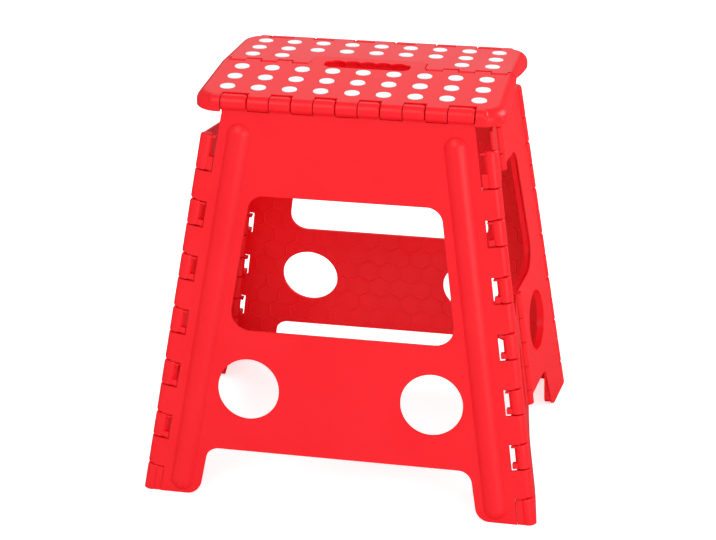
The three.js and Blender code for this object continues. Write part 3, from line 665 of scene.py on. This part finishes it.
def comb_line(shell, a, b):
    """One raised line from a to b, or as much of it as is clear of the openings."""
    inside = []
    for index in range(COMB_STEPS + 1):
        if clear_of_openings(a.lerp(b, index / COMB_STEPS)):
            inside.append(index)
    if len(inside) < 3:
        return
    a_cut = a.lerp(b, inside[0] / COMB_STEPS)
    b_cut = a.lerp(b, inside[-1] / COMB_STEPS)
    turn = Matrix.Rotation(math.atan2(b.y - a.y, b.x - a.x), 4, "Z")
    spot = (a_cut + b_cut) / 2
    place = Matrix.Translation((spot.x, spot.y, -LEG_WALL)) @ turn
    size = Matrix.Diagonal(((b_cut - a_cut).length, COMB_LINE, COMB_RISE, 1))
    bar = bmesh.ops.create_cube(shell, size=1, matrix=place @ size)
    crest = [vert for vert in bar["verts"] if vert.co.z < -LEG_WALL]
    for vert in crest:
        local = place.inverted() @ vert.co
        local.y *= COMB_CREST
        vert.co = place @ local


def honeycomb():
    """Low raised lines in hexagons on the inner face of a leg panel."""
    row = COMB_WIDTH * math.sqrt(3) / 2
    reach = COMB_WIDTH / math.sqrt(3)
    shell = bmesh.new()
    seen = set()
    for line in range(-1, int(COMB_TOP / row)):
        for column in range(-8, 9):
            centre = Vector(((column + (line % 2) / 2) * COMB_WIDTH, COMB_FOOT + line * row))
            for corner_index in range(6):
                angle_a = math.radians(60 * corner_index + 30)
                angle_b = math.radians(60 * corner_index + 90)
                a = centre + Vector((math.cos(angle_a), math.sin(angle_a))) * reach
                b = centre + Vector((math.cos(angle_b), math.sin(angle_b))) * reach
                middle = (a + b) / 2
                key = (round(middle.x), round(middle.y))
                if key not in seen:
                    seen.add(key)
                    comb_line(shell, a, b)
    return shell


def leg_panel(place, top_relief, name, body):
    moulding = Moulding(place)
    outline = leg_edge(1) + leg_top(top_relief) + list(reversed(leg_edge(-1)))
    outline += [(-ARCH_FOOT_HALF, 0, FOOT_ROUND), (-ARCH_TOP_HALF, ARCH_HEIGHT, ARCH_ROUND),
                (ARCH_TOP_HALF, ARCH_HEIGHT, ARCH_ROUND), (ARCH_FOOT_HALF, 0, FOOT_ROUND)]
    window = [(-WINDOW_BOTTOM_HALF, WINDOW_BOTTOM, WINDOW_LOW_ROUND),
              (WINDOW_BOTTOM_HALF, WINDOW_BOTTOM, WINDOW_LOW_ROUND),
              (WINDOW_TOP_HALF, WINDOW_TOP, WINDOW_HIGH_ROUND),
              (-WINDOW_TOP_HALF, WINDOW_TOP, WINDOW_HIGH_ROUND)]
    rounds = []
    for side in (-1, 1):
        rounds.append((side * ROUND_HOLE_SPREAD, ROUND_HOLE_HEIGHT, ROUND_HOLE, CIRCLE_STEPS))
    moulding.take(sheet_shell(outline, [window], -LEG_WALL, 0, 0.6, rounds), on_floor=True)
    for side in (-1, 1):
        hinge = corner_in_leg(side)
        for low, high in narrowed(corner_spans(False)):
            moulding.take(ring_shell(CORNER_BARREL, CORNER_BORE, low, high, 2.4, 0.9), hinge)
        foot = Matrix.Translation((side * AXIS_FOOT, 0, 0))
        tilt = foot @ Matrix.Rotation(side * EDGE_SPREAD, 4, "Z")
        rib = rib_shell(RIB_HALF_WIDTH, RIB_RISE, RIB_FOOT, RIB_TOP, RIB_ROOT)
        moulding.take(rib, tilt @ Matrix.Translation((-side * RIB_INBOARD, 0, 0)), on_floor=True)
    seat_place = place.inverted() @ (FRONT_SEAT if place == FRONT_LEG else REAR_SEAT)
    for low, high in narrowed(top_spans(True)):
        barrel = ring_shell(TOP_BARREL, TOP_BORE, low, high, 0.7, TOP_KNUCKLE_ROUND)
        moulding.take(barrel, seat_place @ along_x(0, 0))
        block = block_shell(low, high - TOP_KNUCKLE_ROUND, -1, 4.2, 1, TOP_BARREL - 0.05, 1.4)
        moulding.take(block, seat_place)
    moulding.take(honeycomb())
    moulding.finish(name, body, red_plastic, "red_plastic")


leg_panel(FRONT_LEG, FRONT_RELIEF, "front_leg_panel", "front_leg")
leg_panel(REAR_LEG, REAR_RELIEF, "rear_leg_panel", "rear_leg")


# Seat halves

def seam_spans(on_front):
    spans = []
    for index in range(SEAM_KNUCKLES):
        start = SEAM_START + index * SEAM_PITCH
        if (index % 2 == 1) == on_front:
            spans.append((start, start + SEAM_PITCH))
    if on_front:
        spans.append((SEAM_END, SEAM_END + SEAM_CAP))
    return spans


def seam_edge(rear, side):
    """The knuckled seam edge on one side, from the tab outwards."""
    own = seam_spans(not rear)
    other = seam_spans(rear)
    points = []
    for start, end in sorted(own + other):
        gap, reach = (HALF_GAP, SEAM_REACH) if (start, end) in own else (-HALF_GAP, SEAM_DEEP)
        points += [(start + gap, SEAM_NEAR), (start + gap, reach),
                   (end - gap, reach), (end - gap, SEAM_NEAR)]
    merged = []
    for x, y in points:
        point = (side * x, y, 0)
        if not merged or math.dist(point, merged[-1]) > CLOSE:
            merged.append(point)
    return merged


def grip_columns(rear, row):
    if rear and row == 0:
        return [[GRIP_COLUMNS - 2, GRIP_COLUMNS - 1], [0, 1]]
    return [list(range(GRIP_COLUMNS))]


def grip_centre(column, row):
    x = (column - GRIP_COLUMNS // 2) * GRIP_PITCH
    return x, SEAM_REACH - GRIP_FIRST - row * GRIP_ROW_PITCH


def hand_hole():
    """The hand hole, with finger scallops along its rear wall."""
    rear = SEAM_REACH + HAND_REAR
    front = SEAM_REACH - HAND_FRONT
    points = [(-HAND_HALF, front, HAND_FRONT_ROUND), (HAND_HALF, front, HAND_FRONT_ROUND),
              (HAND_HALF, rear, HAND_REAR_ROUND)]
    for finger in range(FINGERS):
        x = (FINGERS / 2 - finger) * FINGER_PITCH
        points += [(x, rear - FINGER_RIDGE, 0),
                   (x - FINGER_PITCH / 2, rear + FINGER_DEPTH, FINGER_ROUND)]
    return points + [(-FINGERS / 2 * FINGER_PITCH, rear - FINGER_RIDGE, 0),
                     (-HAND_HALF, rear, HAND_REAR_ROUND)]


def notch_end(rear):
    """How far the notches for the knuckles of a leg panel reach into its seat half."""
    return TOP_BARREL + (REAR_NOTCH if rear else FRONT_NOTCH)


def seat_outline(rear):
    inset = SEAT_EDGE - 0.4
    notch = notch_end(rear)
    front = -TOP_BARREL + inset
    edge = SEAT_HALF_WIDTH - inset
    points = [(edge, SEAM_NEAR, 0), (edge, front, SEAT_CORNER - inset),
              (TOP_HALF + HALF_GAP, front, 0), (TOP_HALF + HALF_GAP, notch, 0)]
    for start, end in reversed(narrowed(top_spans(False))):
        points += [(end, notch, 0), (end, 0, 0), (start, 0, 0), (start, notch, 0)]
    points += [(-TOP_HALF - HALF_GAP, notch, 0), (-TOP_HALF - HALF_GAP, front, 0),
               (-edge, front, SEAT_CORNER - inset), (-edge, SEAM_NEAR, 0)]
    limit = edge - SKIN
    points += [(max(x, -limit), y, r) for x, y, r in reversed(seam_edge(rear, -1))]
    half = TAB_HALF + (TAB_GAP if rear else 0)
    end = SEAM_REACH - TAB_REACH - 1.6 if rear else SEAM_REACH + TAB_REACH
    corner_round = TAB_ROUND - (1 if rear else 0)
    points += [(-half, SEAM_NEAR, 0), (-half, end, corner_round),
               (half, end, corner_round), (half, SEAM_NEAR, 0)]
    return points + [(min(x, limit), y, r) for x, y, r in seam_edge(rear, 1)]


def wall_profile(low, high):
    """The section of a skirt: y runs inwards from its outer face, z up to the tread."""
    lip = 0.5
    points = [(SEAT_WALL - lip, low), (lip, low), (0, low + lip)]
    inner_round = SEAT_EDGE - SEAT_WALL
    for step in range(13):
        angle = math.radians(180 - 90 * step / 12)
        points.append((SEAT_EDGE * (1 + math.cos(angle)), high - SEAT_EDGE * (1 - math.sin(angle))))
    points += [(SEAT_EDGE + 0.8, high), (SEAT_EDGE + 0.8, high - SEAT_WALL)]
    for step in range(9):
        angle = math.radians(90 + 90 * step / 8)
        points.append((SEAT_EDGE + inner_round * math.cos(angle),
                       high - SEAT_EDGE + inner_round * math.sin(angle)))
    return points + [(SEAT_WALL, low + lip)]


def taper(shell):
    """Cuts off the underside of a seat half, which rises towards the seam."""
    return trim(shell, (0, SEAM_REACH, SEAM_RISE + 0.5), Vector((0, 0.125, -1)))


def seat_skirt(rear):
    """The skirt on the right, from the hinge end around the corner to the seam, in two shells."""
    straight = SEAT_HALF_WIDTH - SEAT_CORNER - TOP_HALF - HALF_GAP
    start = [(y - TOP_BARREL, z) for y, z in wall_profile(-TOP_BARREL, TOP_BARREL - CLOSE)]
    moves = [("go", straight, 0),
             ("turn", straight, SEAT_CORNER - TOP_BARREL, math.pi / 2, 24),
             ("go", 0, SEAM_NEAR + TOP_BARREL - SEAT_CORNER)]
    shells = []
    for last in (False, True):
        shell = strip_shell(start, moves)
        bmesh.ops.translate(shell, verts=shell.verts[:], vec=(TOP_HALF + HALF_GAP, 0, 0))
        taper(shell)
        trim(shell, (0, SEAM_DEEP, 0), Vector((0, -1 if last else 1, 0)))
        if last:
            knuckles_end = SEAM_END + (SEAM_CAP if rear else 0)
            trim(shell, (knuckles_end + 0.3, 0, 0), Vector((-1, 0, 0)))
        shells.append(shell)
    return shells


def closed_end(level, direction, bore):
    """Closes the bore of a barrel at one end."""
    low, high = sorted((level - direction * 3.6, level - direction * SKIN))
    return rod_shell(bore + 0.9, low, high, 0.05)


def tapered_block(x0, x1, y0, y1, z0, z1):
    return taper(block_shell(x0, x1, y0, y1, z0, z1))


def seat_half(place, rear, name, body):
    moulding = Moulding(place)
    notch = notch_end(rear)
    under = TOP_BARREL - SEAT_WALL
    root = under + SINK
    holes = [] if rear else [hand_hole()]
    circles = []
    for row in range(3):
        for columns in grip_columns(rear, row):
            for column in columns:
                x, y = grip_centre(column, row)
                circles.append((x, y, GRIP_RADIUS, GRIP_STEPS))
    moulding.take(sheet_shell(seat_outline(rear), holes, under, TOP_BARREL, 0.35, circles))
    for side in (-1, 1):
        for shell in seat_skirt(rear):
            moulding.take(shell, Matrix.Scale(side, 4, (1, 0, 0)))

    hinge = along_x(0, 0)
    bore = TOP_BORE_OPEN if rear else TOP_BORE
    for low, high in narrowed(top_spans(False)):
        moulding.take(ring_shell(TOP_BARREL, bore, low, high, 1.2, 0.7), hinge)
        moulding.take(block_shell(low + 0.4, high - 0.4, 1, notch + 1.2, 1, root))
    for side in (-1, 1):
        end = Matrix.Scale(side, 4, (0, 0, 1))
        boss_end = TOP_HALF + END_BOSS
        boss = ring_shell(TOP_BARREL - SKIN, bore, TOP_HALF + HALF_GAP, boss_end, 0.5, 4.5, 6)
        moulding.take(boss, hinge @ end)
        moulding.take(closed_end(boss_end - 0.1, 1, bore), hinge @ end)

    wide = SEAT_HALF_WIDTH - SEAT_WALL - 2.5
    moulding.take(tapered_block(-CROSS_WEB_HALF, CROSS_WEB_HALF, notch, notch + WEB_WALL,
                                TOP_BARREL - 10, root))
    for row in range(2):
        y = SEAM_REACH - GRIP_FIRST - (row + 0.5) * GRIP_ROW_PITCH
        moulding.take(tapered_block(-wide, wide, y - WEB_WALL / 2, y + WEB_WALL / 2, -2, root))
    seam_wall = SEAM_NEAR - SEAM_BARREL - SEAM_CUT
    inner = TAB_HALF + TAB_GAP if rear else HAND_HALF + 2
    for side in (-1, 1):
        low, high = sorted((side * inner, side * wide))
        moulding.take(tapered_block(low, high, seam_wall - WEB_WALL, seam_wall, 0, root))
    if not rear:
        moulding.take(tab_rim(TOP_BARREL - TAB_SKIRT, SEAM_REACH + TAB_REACH))
        moulding.take(hand_rim(TOP_BARREL - TAB_SKIRT - 3))

    seam = along_x(SEAM_REACH, SEAM_RISE)
    for start, end in seam_spans(not rear):
        for side in (-1, 1):
            low, high = sorted((side * (start + HALF_GAP), side * (end - HALF_GAP)))
            if start == SEAM_END:
                low, high = sorted((side * (start - HALF_GAP), side * end))
            moulding.take(ring_shell(SEAM_BARREL, SEAM_BORE, low, high, 0.4, 0.4), seam)
            if start == SEAM_END:
                moulding.take(closed_end(side * end, side, SEAM_BORE), seam)
    moulding.finish(name, body, red_tread, "red_plastic")


def tab_rim(low, end):
    """The skirt of the carrying tab, open towards the seat."""
    half = TAB_HALF - SKIN
    back = SEAM_REACH - 14
    bm = bmesh.new()
    draw_loop(bm, [(-half, back, 0), (half, back, 0), (half, end - SKIN, TAB_ROUND - SKIN),
                   (-half, end - SKIN, TAB_ROUND - SKIN)])
    bmesh.ops.remove_doubles(bm, verts=bm.verts[:], dist=CLOSE)
    ring = bmesh.ops.inset_region(bm, faces=bm.faces[:], thickness=SEAT_WALL, use_even_offset=True,
                                  use_boundary=True)
    middle = [face for face in bm.faces if face not in ring["faces"]]
    bmesh.ops.delete(bm, geom=middle, context="FACES_ONLY")
    raise_walls(bm, low, TOP_BARREL - 0.5)
    return trim(bm, (0, SEAM_REACH - 4, 0), Vector((0, -1, 0)))


def hand_rim(low):
    """The wall around the hand hole."""
    half = HAND_HALF + SEAT_WALL
    front = SEAM_REACH - HAND_FRONT - SEAT_WALL
    rear = SEAM_REACH + TAB_REACH - 1
    points = [(-half, front, HAND_FRONT_ROUND + SEAT_WALL), (half, front, HAND_FRONT_ROUND + SEAT_WALL),
              (half, rear, 0), (-half, rear, 0)]
    bm = bmesh.new()
    draw_loop(bm, points)
    draw_loop(bm, hand_hole())
    bmesh.ops.remove_doubles(bm, verts=bm.verts[:], dist=SKIN)
    fill_between(bm)
    raise_walls(bm, low, TOP_BARREL - SEAT_WALL + SINK)
    return bm


seat_half(FRONT_SEAT, False, "front_seat_half", "front_seat")
seat_half(REAR_SEAT, True, "rear_seat_half", "rear_seat")


# White dots, each row one moulded strip below the tread

def grip_row(place, columns, row, name, body):
    moulding = Moulding(place)
    under = TOP_BARREL - SEAT_WALL - GRIP_GAP
    reach = GRIP_RADIUS - GRIP_GAP
    xs = []
    for column in columns:
        x, y = grip_centre(column, row)
        xs.append(x)
        plug = rod_shell(reach, under - 0.7, TOP_BARREL + 0.5, 0.45, 48)
        moulding.take(plug, Matrix.Translation((x, y, 0)))
    moulding.take(block_shell(min(xs) - reach, max(xs) + reach, y - GRIP_RADIUS, y + GRIP_RADIUS,
                              under - 1.4, under, 0.3))
    moulding.finish(name, body, white_rubber, "white_rubber")


for row in range(3):
    grip_row(FRONT_SEAT, range(GRIP_COLUMNS), row, "front_grip_row_%d" % (3 - row), "front_seat")
for row in (1, 2):
    grip_row(REAR_SEAT, range(GRIP_COLUMNS), row, "rear_grip_row_%d" % (row + 1), "rear_seat")
for columns, hand in zip(grip_columns(True, 0), ("left", "right")):
    grip_row(REAR_SEAT, columns, 0, "rear_grip_row_1_" + hand, "rear_seat")


# Side half panels

def corner_line(height):
    """Distance from the side seam to the corner hinge at a height along the seam."""
    return (SEAM_RUN - height) * math.tan(HALF_ANGLE)


def side_window_edge(height):
    """Distance from the side seam to the far edge of the side window at a height."""
    return corner_line(height) - SIDE_WINDOW_INBOARD


def beside_side_corner(run, inboard):
    left = corner_run - run
    along = left * math.sin(HALF_ANGLE) - inboard * math.cos(HALF_ANGLE)
    height = SEAM_RUN - left * math.cos(HALF_ANGLE) - inboard * math.sin(HALF_ANGLE)
    return (along, height, 0)


def side_spans(on_front):
    spans = []
    for start, first, pitch, count in ((SIDE_STACK_START, SIDE_FIRST, SIDE_PITCH, 5),
                                       (WINDOW_TOP, SIDE_UPPER_FIRST, SIDE_UPPER_PITCH, 3)):
        for index in range(count):
            low = start if index == 0 else start + first + (index - 1) * pitch
            if (index % 2 == 0) == on_front:
                spans.append((low, start + first + index * pitch))
    return spans


def side_corner_edge():
    """The knuckled corner edge of a side half panel, from the foot up."""
    deep = CORNER_BARREL + 0.6
    points = []
    for start, end in narrowed(corner_spans(True)):
        points += [beside_side_corner(start, deep), beside_side_corner(start, 0),
                   beside_side_corner(end, 0), beside_side_corner(end, deep)]
    below_floor = beside_side_corner(-8, 0)
    return [below_floor] + points[2:-1]


def side_seam_edge(on_front):
    """The seam edge with its window mouth, from the top down."""
    deep = SIDE_BARREL + 0.6
    own = side_spans(on_front)
    points = []
    upper = [span for span in own if span[0] >= WINDOW_TOP]
    lower = [span for span in own if span[0] < WINDOW_TOP]
    level = SIDE_TOP
    for start, end in reversed(upper):
        points.append((deep, level, 0))
        points += [(deep, end - HALF_GAP, 0), (0, end - HALF_GAP, 0), (0, start + HALF_GAP, 0)]
        level = start + HALF_GAP
    if points[-1][1] > WINDOW_TOP + HALF_GAP:
        points.append((deep, points[-1][1], 0))
        points.append((deep, WINDOW_TOP, 0))
    else:
        points[-1] = (0, WINDOW_TOP, 0)
    points += [(side_window_edge(WINDOW_TOP), WINDOW_TOP, WINDOW_HIGH_ROUND),
               (side_window_edge(WINDOW_BOTTOM), WINDOW_BOTTOM, SIDE_WINDOW_LOW_ROUND)]
    for index, (start, end) in enumerate(reversed(lower)):
        if end > WINDOW_BOTTOM:
            points += [(0, WINDOW_BOTTOM, 0), (0, start + HALF_GAP, 0), (deep, start + HALF_GAP, 0)]
            continue
        if index == 0:
            points.append((deep, WINDOW_BOTTOM, 0))
        points += [(deep, end - HALF_GAP, 0), (0, end - HALF_GAP, 0), (0, start + HALF_GAP, 0)]
        if start > SIDE_STACK_START:
            points.append((deep, start + HALF_GAP, 0))
    if lower[0][0] > SIDE_STACK_START:
        points.append((deep, SIDE_STACK_START, 0))
    else:
        points[-1] = (0, SIDE_STACK_START, 0)
    return points


def side_outline(on_front, low_shoulder):
    points = [(corner_line(SIDE_STACK_START) - ARCH_WIDTH, SIDE_STACK_START, ARCH_ROUND),
              (corner_line(0) - SIDE_FOOT, 0, FOOT_ROUND)]
    points += side_corner_edge()
    dip = corner_line(SIDE_SHOULDER) - SHOULDER_RUN
    last = points[-1]
    if low_shoulder:
        points += [(last[0] - 1, last[1] + 0.2, 0),
                   (dip, SIDE_SHOULDER - SHOULDER_DIP, SHOULDER_ROUND),
                   (dip - SHOULDER_RISE, SIDE_TOP, SHOULDER_ROUND)]
    else:
        points += [(corner_line(SIDE_SHOULDER) + CORNER_OVERHANG, last[1] + 0.6, 0),
                   (corner_line(SIDE_TOP) + CORNER_OVERHANG, SIDE_TOP - 4, CORNER_OVERHANG)]
    return points + side_seam_edge(on_front)


def window_rim():
    """A rim turned inwards along the edge of the window."""
    mouth = SIDE_BARREL + 1.5
    high = side_window_edge(WINDOW_TOP)
    low = side_window_edge(WINDOW_BOTTOM)
    outline = [(mouth, WINDOW_TOP + RIM_WALL, 0),
               (high + RIM_WALL, WINDOW_TOP + RIM_WALL, WINDOW_HIGH_ROUND + RIM_WALL),
               (low + RIM_WALL, WINDOW_BOTTOM - RIM_WALL, SIDE_WINDOW_LOW_ROUND + RIM_WALL),
               (mouth, WINDOW_BOTTOM - RIM_WALL, 0),
               (mouth, WINDOW_BOTTOM, 0),
               (low, WINDOW_BOTTOM, SIDE_WINDOW_LOW_ROUND),
               (high, WINDOW_TOP, WINDOW_HIGH_ROUND),
               (mouth, WINDOW_TOP, 0)]
    return sheet_shell(outline, [], SIDE_FACE - RIM_DEPTH, SIDE_FACE - RIM_SETBACK, 0.4)


def foot_rim():
    """A rim turned inwards along the arch edge of the foot, deepest at the floor."""
    top = Vector((corner_line(SIDE_STACK_START) - ARCH_WIDTH, SIDE_STACK_START))
    toe = Vector((corner_line(0) - SIDE_FOOT, 0))
    start = toe.lerp(top, FOOT_RIM_SHARE)
    heel = corner_line(0) - FOOT_RIM_END
    outline = [(start.x, start.y, 0), (toe.x, 0, FOOT_ROUND), (heel, 0, 0), (heel, RIM_WALL, 0),
               (toe.x + RIM_WALL, RIM_WALL, FOOT_ROUND - RIM_WALL), (start.x + RIM_WALL, start.y, 0)]
    shell = sheet_shell(outline, [], -1, 0, 0)
    for vert in shell.verts:
        if vert.co.z < -0.5:
            shallower = FOOT_RIM_FADE * vert.co.y / start.y
            vert.co.z = SIDE_FACE - SIDE_WALL - FOOT_RIM_DEPTH + shallower
        else:
            vert.co.z = SIDE_FACE - RIM_SETBACK
    return shell


def side_half(place, leg_hinge, hand, on_front, low_shoulder, bore, body):
    moulding = Moulding(place)
    sine = math.sin(SIDE_FLARE)
    cosine = math.cos(SIDE_FLARE)
    flat = Matrix(((sine, 0, cosine, 0),
                   (hand * cosine, 0, -hand * sine, 0),
                   (0, 1, 0, 0),
                   (0, 0, 0, 1)))
    hole = (corner_line(ROUND_HOLE_HEIGHT) / 2, ROUND_HOLE_HEIGHT, SIDE_HOLE, CIRCLE_STEPS)
    outline = side_outline(on_front, low_shoulder)
    plate = sheet_shell(outline, [], SIDE_FACE - SIDE_WALL, SIDE_FACE, 0.5, [hole])
    moulding.take(plate, flat, on_floor=True)
    rim = ring_shell(SIDE_HOLE + RIM_WALL, SIDE_HOLE, SIDE_FACE - RIM_DEPTH,
                     SIDE_FACE - RIM_SETBACK, 0.5, 0.1)
    moulding.take(rim, flat @ Matrix.Translation((hole[0], hole[1], 0)))
    moulding.take(window_rim(), flat)
    moulding.take(foot_rim(), flat, on_floor=True)

    foot = Vector((0, hand * corner_run * math.sin(HALF_ANGLE),
                   SEAM_RUN - corner_run * math.cos(HALF_ANGLE)))
    along = Vector((0, -hand * math.sin(HALF_ANGLE), math.cos(HALF_ANGLE)))
    outward = Vector((0, hand * math.cos(HALF_ANGLE), math.sin(HALF_ANGLE)))
    hinge = place_of(outward, along.cross(outward), along, foot)
    in_leg = place.inverted() @ leg_hinge
    front = (-1, 6) if leg_hinge.col[1].xyz.dot(leg_hinge.translation) > 0 else (-6, 1)
    for start, end in corner_spans(True):
        low = start + HALF_GAP
        high = end - HALF_GAP
        shell = ring_shell(CORNER_BARREL, bore, low, high, 2.0 if start else 0.4, 2.4)
        moulding.take(shell, hinge, on_floor=True)
        if start:
            stop = low + (14 if end - start > CORNER_KNUCKLE else 6.5)
            lower = block_shell(-CLOSER_REACH, -CLOSER_ROOT, *front, low + 1, stop, 0.6)
            upper = block_shell(-CLOSER_TOP_REACH, -CLOSER_ROOT, *front, high - 3.2, high - 1.2, 0.5)
            moulding.take(lower, in_leg)
            moulding.take(upper, in_leg)
        else:
            block = block_shell(-CLOSER_FOOT_REACH, -CLOSER_ROOT, *front, low, high - 0.8, 0.4)
            moulding.take(block, in_leg, on_floor=True)
    moulding.take(closed_end(CORNER_END - HALF_GAP, 1, bore), hinge)

    for start, end in side_spans(on_front):
        low = start + HALF_GAP
        high = end - HALF_GAP
        moulding.take(ring_shell(SIDE_BARREL, SIDE_BORE, low, high, 0.6, 0.6))
        if start in (SIDE_STACK_START, WINDOW_TOP):
            moulding.take(closed_end(low, -1, SIDE_BORE))
    if on_front:
        for level in (SIDE_LOWER_END, SIDE_UPPER_END):
            moulding.take(closed_end(level - HALF_GAP, 1, SIDE_BORE))
    moulding.finish(body + "_panel", body, red_plastic, "red_plastic")


for place, leg, hand, on_front, low_shoulder, bore, body in (
        (RIGHT_REAR, REAR_LEG, 1, False, True, CORNER_BORE_OPEN, "right_rear_side"),
        (RIGHT_FRONT, FRONT_LEG, -1, True, False, CORNER_BORE, "right_front_side"),
        (LEFT_FRONT, FRONT_LEG, 1, True, True, CORNER_BORE, "left_front_side"),
        (LEFT_REAR, REAR_LEG, -1, False, False, CORNER_BORE, "left_rear_side")):
    side_half(place, leg @ corner_in_leg(-hand), hand, on_front, low_shoulder, bore, body)


# Steel pins

def pin(place, radius, low, high, name, body):
    moulding = Moulding(place)
    moulding.take(rod_shell(radius, low, high, 0.4, 32))
    moulding.finish(name, body, steel, "steel_pin")


corner_pin_low = PIN_SHY + CORNER_BARREL * math.tan(LEG_LEAN)
corner_pin_high = CORNER_END - PIN_SHY
for leg, end, sides in ((FRONT_LEG, "front", ((-1, "left"), (1, "right"))),
                        (REAR_LEG, "rear", ((-1, "right"), (1, "left")))):
    for side, hand in sides:
        name = hand + "_" + end + "_corner_pin"
        hinge = leg @ corner_in_leg(side)
        pin(hinge, CORNER_PIN, corner_pin_low, corner_pin_high, name, end + "_leg")
for seat, end in ((FRONT_SEAT, "front"), (REAR_SEAT, "rear")):
    reach = TOP_HALF + END_BOSS / 2
    pin(seat @ along_x(0, 0), CORNER_PIN, -reach, reach, end + "_seat_pin", end + "_leg")
seam_hinge = FRONT_SEAT @ along_x(SEAM_REACH, SEAM_RISE)
seam_pin_low = SEAM_START + 1
seam_pin_high = SEAM_END + 1.5
pin(seam_hinge, SEAM_PIN, seam_pin_low, seam_pin_high, "right_seam_pin", "front_seat")
pin(seam_hinge, SEAM_PIN, -seam_pin_high, -seam_pin_low, "left_seam_pin", "front_seat")
for place, hand in ((LEFT_FRONT, "left"), (RIGHT_FRONT, "right")):
    for level, low, high in (("lower", SIDE_STACK_START, SIDE_LOWER_END),
                             ("upper", WINDOW_TOP, SIDE_UPPER_END)):
        name = hand + "_side_" + level + "_pin"
        pin(place, SIDE_PIN, low + PIN_SHY, high - PIN_SHY, name, hand + "_front_side")


# Floor, lamps and camera

floor_mesh = bpy.data.meshes.new("floor")
floor_bm = bmesh.new()
bmesh.ops.create_grid(floor_bm, x_segments=1, y_segments=1, size=6)
floor_bm.to_mesh(floor_mesh)
floor_bm.free()
floor = bpy.data.objects.new("floor", floor_mesh)
scene.collection.objects.link(floor)
pale, pale_tree, pale_shader = new_finish("pale_floor")
preset(pale_shader, Roughness=0.9, Emission_Color=(1, 1, 1, 1))
seen_by = add(pale_tree, "LightPath")
glow = add(pale_tree, "Math")
glow.operation = "MULTIPLY"
glow.inputs[1].default_value = 0.6
shade = add_colour_mix(pale_tree, (0.92, 0.92, 0.92, 1), (0.10, 0.10, 0.10, 1))
connect(pale_tree,
        (seen_by, "Is Camera Ray", glow, 0), (glow, "Value", pale_shader, "Emission Strength"),
        (seen_by, "Is Glossy Ray", shade, "Factor"), (shade, "Result", pale_shader, "Base Color"))
floor_mesh.materials.append(pale)

world = bpy.data.worlds.new("studio")
scene.world = world
world.use_nodes = True
backdrop = world.node_tree.nodes["Background"]
preset(backdrop, Color=(1, 1, 1, 1))
rays = add(world.node_tree, "LightPath")
level = add(world.node_tree, "MapRange", To_Min=0.92, To_Max=1.0)
dimmed = add(world.node_tree, "Math")
dimmed.operation = "MULTIPLY_ADD"
dimmed.inputs[1].default_value = -0.76
connect(world.node_tree,
        (rays, "Is Camera Ray", level, "Value"), (rays, "Is Glossy Ray", dimmed, 0),
        (level, "Result", dimmed, 2), (dimmed, "Value", backdrop, "Strength"))


def soft_lamp(name, spot, aim, size, power, in_reflections=True):
    lamp = bpy.data.lights.new(name, "AREA")
    lamp.shape = "SQUARE"
    lamp.size = size
    lamp.energy = power
    holder = bpy.data.objects.new(name, lamp)
    direction = Vector(aim) - Vector(spot)
    turn = direction.to_track_quat("-Z", "Y").to_matrix().to_4x4()
    holder.matrix_world = Matrix.Translation(spot) @ turn
    holder.visible_glossy = in_reflections
    scene.collection.objects.link(holder)


soft_lamp("key", (-0.7, -1.9, 2.2), (0, 0, 0.2), 1.6, 12)
soft_lamp("side", (1.7, -2.1, 0.8), (0, 0, 0.2), 1.4, 13)
soft_lamp("back", (2.1, 0.9, 1.3), (0, 0, 0.3), 1.2, 24)
soft_lamp("sheen", (-0.5, 2.2, 1.2), (0, 0, 0.3), 1.4, 3)
soft_lamp("under", (0, 0, 0.004), (0, 0, 1), 0.2, 0.08, in_reflections=False)

scene.view_settings.view_transform = "Standard"
camera_data = bpy.data.cameras.new("camera")
camera_data.sensor_fit = "HORIZONTAL"
camera_data.sensor_width = 36
camera_data.lens = 93.11
camera_data.clip_end = 50
camera = bpy.data.objects.new("camera", camera_data)
camera_spot = Vector((0.3093, -1.682, 0.9067))
ahead = Vector((-0.1711, 0.9047, -0.3903)).normalized()
right = Vector((0.9825, 0.1864, 0.0012))
right = (right - ahead * right.dot(ahead)).normalized()
camera.matrix_world = place_of(right, right.cross(ahead), -ahead, camera_spot)
scene.collection.objects.link(camera)
scene.camera = camera
